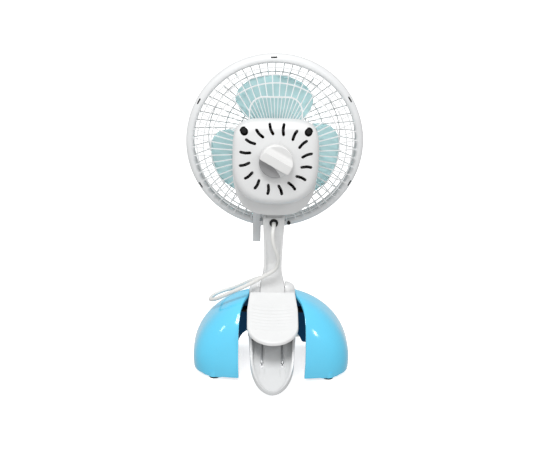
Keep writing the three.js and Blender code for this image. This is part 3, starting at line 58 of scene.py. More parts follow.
# How far the dome's axes lie along Y from the frame's, in metres.
SHIFT_Y = (pin_low.y + pin_high.y) / 2 - HINGE_Y * MM


def place(point):
    """A point in dome millimetres, in metres in the frame."""
    return Vector((point[0] * MM, point[1] * MM + SHIFT_Y, point[2] * MM))


def new_object(name, data):
    """An object of some data, linked into the scene."""
    made = bpy.data.objects.new(name, data)
    bpy.context.collection.objects.link(made)
    return made


# ---- camera

IMAGE_WIDTH = 550
CAMERA_DISTANCE = 1500.0
CAMERA_ELEVATION = radians(18.0)
CAMERA_AZIMUTH = radians(178.6)
CAMERA_ROLL = radians(1.2)
FOCAL_PIXELS = 1442.0
SENSOR = 36.0
LENS_SHIFT = (0.0024, -0.01545)
FAR_CLIP = 100.0
TARGET = Vector((0.0, 0.0, 165.0))


def make_camera():
    """The photograph's view: from behind, a little above, with the lens slightly rolled."""
    back = Vector((
        sin(CAMERA_AZIMUTH) * cos(CAMERA_ELEVATION),
        -cos(CAMERA_AZIMUTH) * cos(CAMERA_ELEVATION),
        sin(CAMERA_ELEVATION),
    ))
    right = (-back).cross(Vector((0, 0, 1))).normalized()
    up = right.cross(-back)
    rolled_right = right * cos(CAMERA_ROLL) + up * sin(CAMERA_ROLL)
    rolled_up = up * cos(CAMERA_ROLL) - right * sin(CAMERA_ROLL)
    data = bpy.data.cameras.new("camera")
    data.sensor_width = SENSOR
    data.lens = FOCAL_PIXELS / IMAGE_WIDTH * SENSOR
    data.shift_x, data.shift_y = LENS_SHIFT
    data.clip_end = FAR_CLIP
    camera = new_object("camera", data)
    turn = Matrix((rolled_right, rolled_up, back)).transposed()
    camera.matrix_world = Matrix.Translation(place(TARGET + back * CAMERA_DISTANCE)) @ turn.to_4x4()
    bpy.context.scene.camera = camera


make_camera()

# ---- materials

LOOK = "_look"
DRIFT_SCALE = 28
DRIFT_BAND = (0.3, 0.7)
GLOSS_SCALE = 140
GLOSS_SPREAD = (0.75, 1.3)
RELIEF_DISTANCE = 0.0001


def ramp_between(tree, source, *stops):
    """A colour that fades from one (position, colour) stop to the other as a socket's value rises."""
    ramp = tree.nodes.new("ShaderNodeValToRGB")
    for element, (position, colour) in zip(ramp.color_ramp.elements, stops):
        element.position = position
        element.color = (*colour, 1)
    tree.links.new(source, ramp.inputs["Fac"])
    return ramp.outputs["Color"]


def surface(name, colour, roughness=0.35, drift=0.04, grain=1800.0, relief=0.08, **sockets):
    """A moulded or machined surface: faintly drifting colour, uneven gloss and a fine relief.

    Further keywords set sockets of the shader itself, with underscores for spaces.
    """
    material = bpy.data.materials.new(name + LOOK)
    material.use_nodes = True
    tree = material.node_tree
    shader = tree.nodes["Principled BSDF"]
    for socket, value in sockets.items():
        shader.inputs[socket.replace("_", " ")].default_value = value
    place_on = tree.nodes.new("ShaderNodeTexCoord")

    def noise(scale, detail):
        node = tree.nodes.new("ShaderNodeTexNoise")
        node.inputs["Scale"].default_value = scale
        node.inputs["Detail"].default_value = detail
        tree.links.new(place_on.outputs["Object"], node.inputs["Vector"])
        return node.outputs["Fac"]

    darker = [c * (1 - drift) for c in colour]
    lighter = [min(1, c * (1 + drift / 2)) for c in colour]
    drifting = ramp_between(tree, noise(DRIFT_SCALE, 3), (DRIFT_BAND[0], darker), (DRIFT_BAND[1], lighter))
    tree.links.new(drifting, shader.inputs["Base Color"])
    gloss = tree.nodes.new("ShaderNodeMapRange")
    gloss.inputs["To Min"].default_value = roughness * GLOSS_SPREAD[0]
    gloss.inputs["To Max"].default_value = min(1, roughness * GLOSS_SPREAD[1])
    tree.links.new(noise(GLOSS_SCALE, 4), gloss.inputs["Value"])
    tree.links.new(gloss.outputs["Result"], shader.inputs["Roughness"])
    bump = tree.nodes.new("ShaderNodeBump")
    bump.inputs["Strength"].default_value = relief
    bump.inputs["Distance"].default_value = RELIEF_DISTANCE
    tree.links.new(noise(grain, 2), bump.inputs["Height"])
    tree.links.new(bump.outputs["Normal"], shader.inputs["Normal"])
    return material


BLUE = surface("blue_shell", (0.115, 0.60, 0.87), 0.13, relief=0.02, Coat_Weight=0.4, Coat_Roughness=0.06)
# The shell's inside: a navy painted shade, far darker than the blue plastic, for the shade inside the dome.
NAVY_PAINTED_SHADE = surface("shell_inside_painted_shade", (0.004, 0.08, 0.20), 0.6, drift=0.1, Specular_IOR_Level=0.1)
WHITE = surface("white_plastic", (0.73, 0.735, 0.735), 0.3)
# The lever's tray: greyer than the white plastic, as a painted shade for the shadow under the shield.
TRAY_PAINTED_SHADE = surface("tray_plastic_painted_shade", (0.62, 0.63, 0.635), 0.3)
GUARD = surface("guard_plastic", (0.73, 0.74, 0.745), 0.3)
KNOB = surface("knob_plastic", (0.70, 0.70, 0.695), 0.22, relief=0.03)
# The knob's lower scoop: a grey painted shade for the shade on that flank.
KNOB_FLANK_PAINTED_SHADE = surface("knob_flank_painted_shade", (0.32, 0.32, 0.325), 0.3, drift=0.25, relief=0.03)
BLADE = surface("blade_plastic", (0.63, 0.88, 0.90), 0.2, relief=0.02, Transmission_Weight=0.4, IOR=1.3)
RUBBER = surface("black_rubber", (0.018, 0.018, 0.019), 0.7, drift=0.2, relief=0.35)
# Near-black plastic for the grommet, the screws and the switch, and also a painted shade on walls and parts
# that sit in shade.
DARK_AND_PAINTED_SHADE = surface("dark_plastic", (0.014, 0.0145, 0.015), 0.5, drift=0.15, Specular_IOR_Level=0.2)
CORD = surface("cord_plastic", (0.72, 0.72, 0.70), 0.4, relief=0.05)
STEEL = surface("steel", (0.56, 0.57, 0.58), 0.28, grain=3000, Metallic=1.0)
LAMINATIONS = surface("laminations", (0.35, 0.36, 0.37), 0.5, drift=0.2, grain=900, relief=0.3, Metallic=1.0)
# The windings' copper is painted far darker than copper, as painted shade, so that it stays dark through the
# vents.
COPPER_PAINTED_SHADE = surface("copper", (0.12, 0.045, 0.02), 0.35, drift=0.2, grain=900, relief=0.4, Metallic=1.0)
BRASS = surface("brass", (0.62, 0.46, 0.2), 0.3, drift=0.1, Metallic=1.0)

# ---- numbers and lines


def clamped(value):
    """The value, kept between 0 and 1."""
    return min(1, max(0, value))


def evenly(start, end, steps):
    """Evenly spaced values from start to end, with both."""
    return [start + (end - start) * i / steps for i in range(steps + 1)]


def between(table, at):
    """Straight-line lookup in a table of (place, value)."""
    if at <= table[0][0]:
        return table[0][1]
    for (a, va), (b, vb) in zip(table, table[1:]):
        if at <= b:
            return va + (vb - va) * (at - a) / (b - a)
    return table[-1][1]


def power_norm(u, v, power):
    """The size of (u, v), by a power: 2 gives circles, and more gives rounded squares."""
    return (abs(u) ** power + abs(v) ** power) ** (1 / power)


def running_lengths(points):
    """How far along a line each of its points lies."""
    lengths = [0.0]
    for a, b in zip(points, points[1:]):
        lengths.append(lengths[-1] + dist(a, b))
    return lengths


def circle(radius, sides):
    """Evenly spaced points round a circle."""
    turns = [2 * pi * i / sides for i in range(sides)]
    return [(radius * cos(turn), radius * sin(turn)) for turn in turns]


def arc(centre, radius, start, end, steps):
    """Points on an arc, in degrees."""
    turns = [radians(degrees) for degrees in evenly(start, end, steps)]
    return [(centre[0] + radius * cos(turn), centre[1] + radius * sin(turn)) for turn in turns]


def both_sides(line):
    """A line of (x, other), and then its mirror image back to the start."""
    return [*line, *((-x, other) for x, other in reversed(line))]


# ---- shapes
# A shape is a pair: its points in millimetres, and its faces as tuples of their numbers.


def joined(*shapes):
    points = []
    faces = []
    for own_points, own_faces in shapes:
        start = len(points)
        points += own_points
        faces += [tuple(start + i for i in face) for face in own_faces]
    return points, faces


def mirrored(shape):
    points, faces = shape
    return [(-x, y, z) for x, y, z in points], [tuple(reversed(face)) for face in faces]


def moved(shape, x=0.0, y=0.0, z=0.0):
    return [(px + x, py + y, pz + z) for px, py, pz in shape[0]], shape[1]


def turned_about_y(shape, degrees):
    """The shape turned about the Y axis, from +X towards +Z."""
    c = cos(radians(degrees))
    s = sin(radians(degrees))
    return [(x * c - z * s, y, x * s + z * c) for x, y, z in shape[0]], shape[1]


def skin(rows, closed=False, caps=False):
    """A quad sheet through rows of points. Closed rows are rings, and caps fill the first and last."""
    count = len(rows[0])
    points = [tuple(point) for row in rows for point in row]
    faces = []
    for i in range(len(rows) - 1):
        for j in range(count if closed else count - 1):
            k = (j + 1) % count
            faces.append((i * count + j, i * count + k, (i + 1) * count + k, (i + 1) * count + j))
    if caps:
        faces.append(tuple(range(count)))
        faces.append(tuple(range((len(rows) - 1) * count, len(rows) * count)))
    return points, faces


def lathe(profile, sides, axis="y"):
    """A closed profile of (radius, height) turned about Y or Z."""
    rows = []
    for radius, height in [*profile, profile[0]]:
        rows.append([(u, height, v) if axis == "y" else (u, v, height) for u, v in circle(radius, sides)])
    return skin(rows, closed=True)


def prism(outline, low, high, axis):
    """An outline drawn out along an axis: in (y, z) along x, in (x, z) along y, or in (x, y) along z."""
    def at(u, v, w):
        return {"x": (w, u, v), "y": (u, w, v), "z": (u, v, w)}[axis]
    return skin([[at(u, v, w) for u, v in outline] for w in (low, high)], closed=True, caps=True)


def block(x0, x1, y0, y1, z0, z1):
    """A box between its limits."""
    return prism([(x0, y0), (x1, y0), (x1, y1), (x0, y1)], z0, z1, "z")


def slab(half, y0, y1, z0, z1):
    """A block that reaches as far to one side as to the other."""
    return block(-half, half, y0, y1, z0, z1)


def slice_across(outline, half):
    """An outline in (y, z), drawn out as far to one side as to the other."""
    return prism(outline, -half, half, "x")


def bar(axis, radius, low, high, centre, sides=32):
    """A round bar along an axis, through a centre given in the other two axes."""
    return prism([(centre[0] + u, centre[1] + v) for u, v in circle(radius, sides)], low, high, axis)


PIN_HOLE_RADIUS = 2.4
THROUGH = 40.0


def pin_hole(y, z):
    """What a pin's or a bolt's hole takes out, right through from side to side."""
    return bar("x", PIN_HOLE_RADIUS, -THROUGH, THROUGH, (y, z))


def smooth_line(points, per_span):
    """A centripetal Catmull-Rom line through the points."""
    def mix(t, low, high, p, q):
        return p * (high - t) / (high - low) + q * (t - low) / (high - low)

    points = [Vector(p) for p in points]
    points = [points[0] * 2 - points[1], *points, points[-1] * 2 - points[-2]]
    line = []
    for i in range(1, len(points) - 2):
        p0, p1, p2, p3 = points[i - 1:i + 3]
        t1 = (p1 - p0).length ** 0.5
        t2 = t1 + (p2 - p1).length ** 0.5
        t3 = t2 + (p3 - p2).length ** 0.5
        for t in evenly(t1, t2, per_span)[:-1]:
            a, b, c = mix(t, 0, t1, p0, p1), mix(t, t1, t2, p1, p2), mix(t, t2, t3, p2, p3)
            line.append(mix(t, t1, t2, mix(t, 0, t2, a, b), mix(t, t1, t3, b, c)))
    line.append(points[-2])
    return line


def tube(points, radius, sides):
    """A round section carried along a line without twisting, closed at both ends."""
    points = [Vector(p) for p in points]
    rows = []
    side = None
    for i, point in enumerate(points):
        tangent = (points[min(i + 1, len(points) - 1)] - points[max(i - 1, 0)]).normalized()
        if side is None:
            side = tangent.cross(Vector((0.31, 0.17, 0.93)))
        side = (side - tangent * side.dot(tangent)).normalized()
        up = tangent.cross(side)
        rows.append([point + side * u + up * v for u, v in circle(radius, sides)])
    return skin(rows, closed=True, caps=True)


# ---- pieces

# In metres: points closer together than the first are merged, and edges shorter than the second
# are dissolved.
DOUBLES_DISTANCE = 2e-6
SHORTEST_EDGE = 1e-6


def raw_object(name, shape):
    """A Blender object of a shape, with its double points merged and its faces turned outwards."""
    points, faces = shape
    mesh = bpy.data.meshes.new(name)
    mesh.from_pydata([place(p) for p in points], [], faces)
    worked = bmesh.new()
    worked.from_mesh(mesh)
    bmesh.ops.remove_doubles(worked, verts=worked.verts, dist=DOUBLES_DISTANCE)
    bmesh.ops.dissolve_degenerate(worked, edges=worked.edges, dist=SHORTEST_EDGE)
    bmesh.ops.recalc_face_normals(worked, faces=worked.faces)
    worked.to_mesh(mesh)
    worked.free()
    return new_object(name, mesh)


def dress(made, *materials):
    """Gives an object its materials, numbered from 0."""
    for material in materials:
        made.data.materials.append(material)


def paint(made, number):
    """Gives all of an object's faces the material with a number."""
    for face in made.data.polygons:
        face.material_index = number


def modify(made, kind, **settings):
    """Gives an object a modifier, which settle() then puts into its mesh."""
    step = made.modifiers.new(kind.lower(), kind)
    for setting, value in settings.items():
        setattr(step, setting, value)


def settle(made):
    """Puts an object's modifiers into its mesh."""
    graph = bpy.context.evaluated_depsgraph_get()
    mesh = bpy.data.meshes.new_from_object(made.evaluated_get(graph))
    made.modifiers.clear()
    made.data = mesh


def combine(made, shape, operation="DIFFERENCE"):
    """Cuts a shape or another object out of an object, joins it on, or keeps what the two share.

    The other is used up. Where the object has materials, its new faces get the second of them.
    """
    other = shape if isinstance(shape, bpy.types.Object) else raw_object("tool", shape)
    if made.data.materials:
        dress(other, *made.data.materials)
        paint(other, 1)
    modify(made, "BOOLEAN", operation=operation, solver="EXACT", object=other)
    settle(made)
    bpy.data.objects.remove(other)


def thicken(made, thickness, inside=0):
    """Gives a sheet its wall, inwards from the drawn side. Its inside can have a material of its own."""
    modify(made, "SOLIDIFY", material_offset=inside, thickness=thickness * MM, offset=-1,
           use_even_offset=True)
    settle(made)


def soften(made, width, segments=2, angle=35):
    """Rounds the edges that are sharper than an angle."""
    modify(made, "BEVEL", width=width * MM, segments=segments, limit_method="ANGLE",
           angle_limit=radians(angle), harden_normals=False)
    settle(made)


def attach(made, other):
    """Adds another object's mesh to an object."""
    worked = bmesh.new()
    worked.from_mesh(made.data)
    worked.from_mesh(other.data)
    worked.to_mesh(made.data)
    worked.free()
    bpy.data.objects.remove(other)


def add_part(made, shape, rounding=0.0, number=0, cuts=()):
    """Adds a shape to an object, with its holes cut, its edges rounded and its material's number set."""
    part = raw_object("part", shape)
    for cut in cuts:
        combine(part, cut)
    if rounding:
        soften(part, rounding)
    paint(part, number)
    attach(made, part)


def finish_piece(made, material, body, stands_for, second=None, sharp=32):
    """Shades a piece, gives it its materials, hides the nodes it stands for, and ties it to its body."""
    if not made.data.materials:
        dress(made, material)
    if second:
        dress(made, second)
    made.data.shade_smooth()
    made.data.set_sharp_from_angle(angle=radians(sharp))
    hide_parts(*stands_for)
    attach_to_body(made, body)


# ---- cord

CORD_RADIUS = 2.1
CORD_ROUTE = [
    (0, 14.2, 161.5), (0, 16.4, 161.4), (0.5, 21.5, 159.4), (1.2, 25.8, 154.2), (0.8, 27.4, 146.5),
    (-1.4, 26.8, 138.5), (-4.2, 25, 130.5), (-5, 22.6, 122.5), (-3.2, 20.8, 115.5), (2, 19.4, 110.2),
    (9.4, 18, 105.2), (17.1, 17, 100.3), (25.4, 16, 95), (34.6, 15.2, 90), (45.4, 11.4, 83.4),
    (55.4, 6.6, 76.6), (62.8, -1.6, 70.9), (65.4, -11.4, 68.2), (61.6, -21, 69), (53, -26, 71.6),
    (43, -26.4, 74.8), (33, -23.6, 79.8), (23.6, -20.4, 85.6), (14.4, -20.4, 89), (6.4, -24.6, 88.4),
    (2.2, -32, 84.2), (1.6, -40.4, 77), (2, -48, 67.4), (3, -54.6, 55.4), (4.2, -59.6, 42),
    (4.6, -63.4, 29), (2.4, -66.6, 17.4), (-3.8, -69, 8.2), (-12, -70.2, 3.2),
]
COIL_CENTRE = (-27.0, -101.0)
COIL_INNER_RADIUS = 20.0
COIL_PITCH = 4.7
COIL_LAYER_TURNS = 2
COIL_STEPS = 24
COIL_REST_Z = 2.3
COIL_CLIMB_TURNS = 0.5
COIL_CLIMB_DIP = 1.2
TAIL_GAP = 4.2
TAIL_LENGTH = 15.0
CORD_LEAD_IN = 1.5


def coil_points():
    """Two layers wound flat: in along the floor, up a layer in half a turn, and out again."""
    points = []
    outer = COIL_INNER_RADIUS + COIL_PITCH * COIL_LAYER_TURNS
    steps = int((2 * COIL_LAYER_TURNS + COIL_CLIMB_TURNS) * COIL_STEPS)
    for i in range(steps + 1):
        turns = i / COIL_STEPS
        climb = clamped((turns - COIL_LAYER_TURNS) / COIL_CLIMB_TURNS)
        inward = min(turns, COIL_LAYER_TURNS)
        outward = max(0, turns - COIL_LAYER_TURNS - COIL_CLIMB_TURNS)
        radius = outer - COIL_PITCH * (inward - outward) - COIL_CLIMB_DIP * sin(pi * climb)
        turn = pi / 2 + 2 * pi * turns
        points.append((
            COIL_CENTRE[0] + radius * cos(turn),
            COIL_CENTRE[1] + radius * sin(turn),
            COIL_REST_Z + COIL_PITCH * (0.5 - 0.5 * cos(pi * climb)),
        ))
    return points


def make_cord():
    """The whole lead as one tube: down the stem, over the dome and back, to its coil and the plug."""
    wound = coil_points()
    end_x, end_y, end_z = wound[-1]
    tail = [(end_x + TAIL_GAP + TAIL_LENGTH * share, end_y, end_z) for share in (0, 0.33, 0.67, 1)]
    first_x, first_y, first_z = CORD_ROUTE[0]
    route = [(first_x, first_y - CORD_LEAD_IN, first_z), *CORD_ROUTE, *wound, *tail]
    line = [place(p) for p in smooth_line(route, 4)]
    curve = bpy.data.curves.new("mains_lead", "CURVE")
    curve.dimensions = "3D"
    curve.bevel_depth = CORD_RADIUS * MM
    curve.bevel_resolution = 4
    curve.use_fill_caps = True
    spline = curve.splines.new("POLY")
    spline.points.add(len(line) - 1)
    for point, at in zip(spline.points, line):
        point.co = (*at, 1)
    spline.use_smooth = True
    curve.materials.append(CORD)
    swept = bpy.data.objects.new("lead_curve", curve)
    lead = new_object("mains_lead", bpy.data.meshes.new_from_object(swept))
    bpy.data.objects.remove(swept)
    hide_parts("cord", "cord_coil", "cord_tail")
    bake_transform(lead)
    length = sum((b - a).length for a, b in zip(line, line[1:]))
    return lead, length, line


lead, lead_length, lead_line = make_cord()

# ---- dome

DOME_HALF_WIDTH = 82.7
DOME_HALF_DEPTH = 51.5
DOME_HEIGHT = 84.7
DOME_WAIST_Z = 14.0
DOME_WALL = 2.4
PROFILE_POWER = 1.88
PROFILE_STEPS = 60
PROFILE_HALF_WIDTH = 65.0
SKIRT_STEPS = 8
PLAN_POWER = 3.4
BOTTOM_SHARE = 0.985
SLOT_FRONT_Y = -14.0
SLOT_TOP_HALF_WIDTH = 24.4
SLOT_CORNER = 2.0
SLOT_CROWN_END_Y = 0.0
LEAST_SIDE = 1e-6
SLOT_LINE = [
    (-5, 34.0), (20, 35.0), (44, 35.2), (58, 34.8), (66, 34.0),
    (71.8, 32.6), (76, 30.6), (78.6, 28.2), (80, 26), (80.8, 24.4),
]
ARCH_HALF_WIDTH = 37.0
ARCH_FLAT_HALF_WIDTH = 24.0
ARCH_HEIGHT = 17.0
ARCH_ROOT_DEPTH = 5.0
ARCH_BACK_Y = -20.0
ARCH_POWER = 1.8
FOOT_X = 59.5
FOOT_Y = 38.5
FOOT_RADIUS = 5.6
FOOT_HEIGHT = 3.4
FOOT_SIDES = 40
DOME_LIFT = 4.0
FOOT_LIFT = 3.0
FOOT_LIFT_RADIUS = 9.5
FOOT_LIFT_FADE = 3.5
FOOT_PLACES = {
    "foot_back_left": (FOOT_X, FOOT_Y), "foot_back_right": (-FOOT_X, FOOT_Y),
    "foot_front_left": (FOOT_X, -FOOT_Y), "foot_front_right": (-FOOT_X, -FOOT_Y),
}


def dome_profile(grow=0.0):
    """The dome's meridian as (share of the width, height), from the crown down to the floor."""
    line = []
    for down in evenly(0, 1, PROFILE_STEPS):
        turn = pi / 2 * (1 - down)
        rise = sin(turn) ** (2 / PROFILE_POWER)
        line.append((cos(turn) ** (2 / PROFILE_POWER),
                     DOME_WAIST_Z + (DOME_HEIGHT + grow - DOME_WAIST_Z) * rise))
    for down in evenly(0, 1, SKIRT_STEPS)[1:]:
        line.append((1 - (1 - BOTTOM_SHARE) * down ** 2, DOME_WAIST_Z * (1 - down)))
    return line


# The profile's lookups by reach, which is the distance along it from the crown.
PROFILE = dome_profile()
PROFILE_REACH = running_lengths([(share * PROFILE_HALF_WIDTH, z) for share, z in PROFILE])
WAIST_REACH = PROFILE_REACH[PROFILE_STEPS]
SHARE_AT = [(reach, share) for reach, (share, _) in zip(PROFILE_REACH, PROFILE)]
HEIGHT_AT = [(reach, z) for reach, (_, z) in zip(PROFILE_REACH, PROFILE)]
REACH_OF_SHARE = [(share, reach) for reach, share in SHARE_AT[:PROFILE_STEPS + 1]]
REACH_OF_DROP = [(-z, reach) for reach, z in HEIGHT_AT]


def dome_point(reach, angle):
    """A point of the dome, by its reach and its angle in plan."""
    share = between(SHARE_AT, reach)
    norm = power_norm(cos(angle), sin(angle), PLAN_POWER)
    return (DOME_HALF_WIDTH * share * cos(angle) / norm,
            DOME_HALF_DEPTH * share * sin(angle) / norm,
            between(HEIGHT_AT, reach))


def plan_angle(x, y):
    return atan2(y / DOME_HALF_DEPTH, x / DOME_HALF_WIDTH)


def plan_share(x, y):
    """The share of the dome's full plan at which a place lies."""
    return power_norm(x / DOME_HALF_WIDTH, y / DOME_HALF_DEPTH, PLAN_POWER)


def slot_edge_angle(reach):
    """Where the slot's side cuts the dome at a place on its profile."""
    share = between(SHARE_AT, reach)
    half = between(SLOT_LINE, between(HEIGHT_AT, reach)) / DOME_HALF_WIDTH
    side = max(LEAST_SIDE, share ** PLAN_POWER - half ** PLAN_POWER) ** (1 / PLAN_POWER)
    return atan2(side, half)


def bottom_height(x, y):
    """Height of the dome's bottom edge: lower round the feet, and arched at the front."""
    nearest = hypot(abs(x) - FOOT_X, abs(y) - FOOT_Y)
    blend = clamped((nearest - FOOT_LIFT_RADIUS) / FOOT_LIFT_FADE)
    lift = FOOT_LIFT + (DOME_LIFT - FOOT_LIFT) * blend * blend * (3 - 2 * blend)
    if y > ARCH_BACK_Y or abs(x) >= ARCH_HALF_WIDTH:
        return lift
    outside = max(0, abs(x) - ARCH_FLAT_HALF_WIDTH) / (ARCH_HALF_WIDTH - ARCH_FLAT_HALF_WIDTH)
    rise = (ARCH_HEIGHT + ARCH_ROOT_DEPTH) * (1 - outside ** ARCH_POWER) ** (1 / ARCH_POWER)
    return max(lift, rise - ARCH_ROOT_DEPTH)


def crown_edge(share):
    """The slot's edge on the crown, from the front middle round the corner and back along the side."""
    corner_x = SLOT_TOP_HALF_WIDTH - SLOT_CORNER
    path = [(0, SLOT_FRONT_Y), (corner_x, SLOT_FRONT_Y)]
    path += arc((corner_x, SLOT_FRONT_Y + SLOT_CORNER), SLOT_CORNER, -75, 0, 5)
    path.append((SLOT_TOP_HALF_WIDTH, SLOT_CROWN_END_Y))
    reach = running_lengths(path)
    return [between(list(zip(reach, values)), share * reach[-1]) for values in zip(*path)]


def dome_shape():
    """One half of the dome as a quad sheet that follows its slot, its arch and its bottom edge."""
    columns = 112
    rows = 40
    samples = 400
    tries = 4
    end_angle = slot_edge_angle(WAIST_REACH)
    angles = evenly(-pi / 2, end_angle, samples)
    along = running_lengths([dome_point(WAIST_REACH, angle) for angle in angles])
    angle_at = list(zip(along, angles))
    last_start = between(REACH_OF_SHARE, plan_share(*crown_edge(1)))
    last_start_angle = slot_edge_angle(last_start)
    grid = []
    for share in evenly(0, 1, columns):
        outer_angle = between(angle_at, share * along[-1])
        x, y = crown_edge(share)
        start_angle = plan_angle(x, y)
        start = between(REACH_OF_SHARE, plan_share(x, y))
        end = PROFILE_REACH[-1]
        for _ in range(tries):
            x, y = dome_point(end, outer_angle)[:2]
            end = between(REACH_OF_DROP, -bottom_height(x, y))
        line = []
        for down in evenly(0, 1, rows):
            reach = start + (end - start) * down
            angle = start_angle + (outer_angle - start_angle) * down
            last_reach = last_start + (PROFILE_REACH[-1] - last_start) * down
            straight = last_start_angle + (end_angle - last_start_angle) * down
            angle += (slot_edge_angle(last_reach) - straight) * share ** 3
            if share == 1:
                angle = slot_edge_angle(reach)
            line.append(dome_point(reach, angle))
        grid.append(line)
    return skin(grid)


def make_dome():
    """The blue shell, with a navy painted shade on its inside, and the bosses that its feet are pressed into.
    """
    half = dome_shape()
    dome = raw_object("dome_shell", joined(half, mirrored(half)))
    # The inside takes the navy painted shade.
    dress(dome, BLUE, NAVY_PAINTED_SHADE)
    thicken(dome, DOME_WALL, inside=1)
    soften(dome, 0.5, 2, 50)
    boss = lathe([(0, 3.8), (FOOT_RADIUS + 0.3, 3.8), (FOOT_RADIUS + 0.3, 2.7), (7.2, 2.7), (7.2, 9),
                  (0, 9)], FOOT_SIDES, "z")
    add_part(dome, joined(*(moved(boss, x, y) for x, y in FOOT_PLACES.values())))
    finish_piece(dome, BLUE, "base", ["base_shell"], sharp=40)


def make_feet():
    """Four rubber pads, each with a shallow cup below."""
    foot = lathe([(0, 0.5), (3.2, 0.5), (3.8, 0), (4.7, 0), (5.3, 0.3), (FOOT_RADIUS, 0.9),
                  (FOOT_RADIUS, FOOT_HEIGHT), (0, FOOT_HEIGHT)], FOOT_SIDES, "z")
    for node, (x, y) in FOOT_PLACES.items():
        finish_piece(raw_object(node + "_pad", moved(foot, x, y)), RUBBER, "base", [node])


make_dome()
make_feet()

# ---- clamp, upper leg

STEM_Y = 3.0
FOLD_Z = 85.5
STEM_FOOT_HALF_WIDTH = 12.7
STEM_FOOT_RADIUS = 10.5
SLIDE_GAP = 0.5
LOBE_OUTER_X = 24.0
LOBE_RADIUS = 8.5
LOBE_TIP_RADIUS = 0.6
LOBE_FLAT = 3.0
LOBE_POWER = 1.4
LOBE_ROOT = (79, 74)
SADDLE_FRONT_Y = -13.4
SADDLE_BACK_Y = 18.0
SADDLE_BOTTOM_Z = 68.0
CROWN_RISE = 1.2
CROWN_FROM_Z = 60.0
SHIELD_HALF_WIDTH = 26.4
SHIELD_FLARE = 2.6
SHIELD_ROOT_Y = 13.0
SHIELD_WIDE_Y = 32.0
SHIELD_TIP_Y = 80.0
SHIELD_RIM_DEPTHS = [(13.5, 6.0), (82.0, 3.6)]
SHIELD_WALL = 2.4
SHIELD_LINE = [(13.5, 0, 85.6), (32, 0, 75), (60, 0, 64), (82, 0, 56.2)]
RIDGE_START = 30.0
RIDGE_END = 66.0
RIDGE_PITCH = 4.5
RIDGE_HEIGHT = 0.45
RIDGE_CURVE = 0.006
RIDGE_MARGIN = 3.0
RIDGE_FADE = 4.0
CHEEK_RADIUS = 6.0
CHEEK_THICKNESS = 3.0
CHEEK_TOP_HALF = 12.0
CHEEK_TOP_DROP = 1.4
JAW_FRONT_Y = -46.0
JAW_BACK_Y = -22.0
JAW_PAD_HALF_WIDTH = 15.0
UPPER_JAW_Z = 17.45
LOWER_JAW_Z = 10.55
JAW_ARM_THICKNESS = 4.0
ARM_HALF_WIDTH = 12.0
LEVER_HALF_WIDTH = 24.6
LEVER_WALL = 2.4
TAB_HALF_WIDTH = 44.0
TAB_FRONT_Y = -14.0
TAB_BACK_Y = -2.0
TAB_SCREW = (39.0, -8.0)
TAB_SCREW_RADIUS = 1.9

shield_heights = [(p.x, p.z) for p in smooth_line(SHIELD_LINE, 16)]


def tongue_outline(root_half, half, root_y, wide_y, tip_y, tip_reach, tip_steps=40):
    """A tongue in plan: widening from its root, straight, and round at the tip."""
    tip_start = tip_y - tip_reach
    side = list(zip(evenly(root_half, half, 16), evenly(root_y, wide_y, 16)))
    side += [(half, y) for y in evenly(wide_y, tip_start, 32)[1:]]
    tip = [(half * cos(turn), tip_start + tip_reach * sin(turn))
           for turn in evenly(0, pi, tip_steps)[1:-1]]
    return [*side, *tip, *((-x, y) for x, y in reversed(side))]


def tongue_rows(outline, spine_y, height, sense, edge, rings, wall_end):
    """Rows of a tongue's skin: its side wall, a rounded edge and nested outlines in to its spine.

    The wall starts at wall_end(y) and the face lies at height(x, y), above the wall where sense is 1
    and below it where sense is -1. The edge is rounded with a radius.
    """
    def inset(share_in, amount):
        row = []
        for x, y in outline:
            middle = min(y, spine_y)
            size = hypot(x, y - middle) or 1
            keep = max(0, 1 - amount / size) * (1 - share_in)
            row.append((x * keep, middle + (y - middle) * keep))
        return row

    rows = []
    for share in (0, 0.35, 0.7, 1):
        rows.append([(x, y, wall_end(y) + (height(x, y) - sense * edge - wall_end(y)) * share)
                     for x, y in outline])
    for degrees in (22.5, 45, 67.5, 90):
        turn = radians(degrees)
        fall = sense * edge * (1 - sin(turn))
        rows.append([(x, y, height(x, y) - fall) for x, y in inset(0, edge * (1 - cos(turn)))])
    for share in evenly(0, 1, rings)[1:]:
        rows.append([(x, y, height(x, y)) for x, y in inset(share, edge)])
    return rows


def make_shield():
    """The white cover of the clamp: a curved tongue with a rolled rim and faint grip ridges across it."""
    def height(x, y):
        along = y + x * x * RIDGE_CURVE
        ridge = 0.0
        if RIDGE_START < along < RIDGE_END:
            fade = clamped((SHIELD_HALF_WIDTH - RIDGE_MARGIN - abs(x)) / RIDGE_FADE)
            ridge = fade * RIDGE_HEIGHT * sin((along - RIDGE_START) / RIDGE_PITCH * pi) ** 2
        return between(shield_heights, y) + ridge

    outline = tongue_outline(SHIELD_HALF_WIDTH - SHIELD_FLARE, SHIELD_HALF_WIDTH, SHIELD_ROOT_Y,
                             SHIELD_WIDE_Y, SHIELD_TIP_Y, SHIELD_HALF_WIDTH)
    rows = tongue_rows(outline, SHIELD_TIP_Y - SHIELD_HALF_WIDTH, height, sense=1, edge=1.8, rings=16,
                       wall_end=lambda y: between(shield_heights, y) - between(SHIELD_RIM_DEPTHS, y))
    shield = raw_object("clamp_shield", skin(rows))
    thicken(shield, SHIELD_WALL)
    soften(shield, 0.4, 2, 50)
    return shield


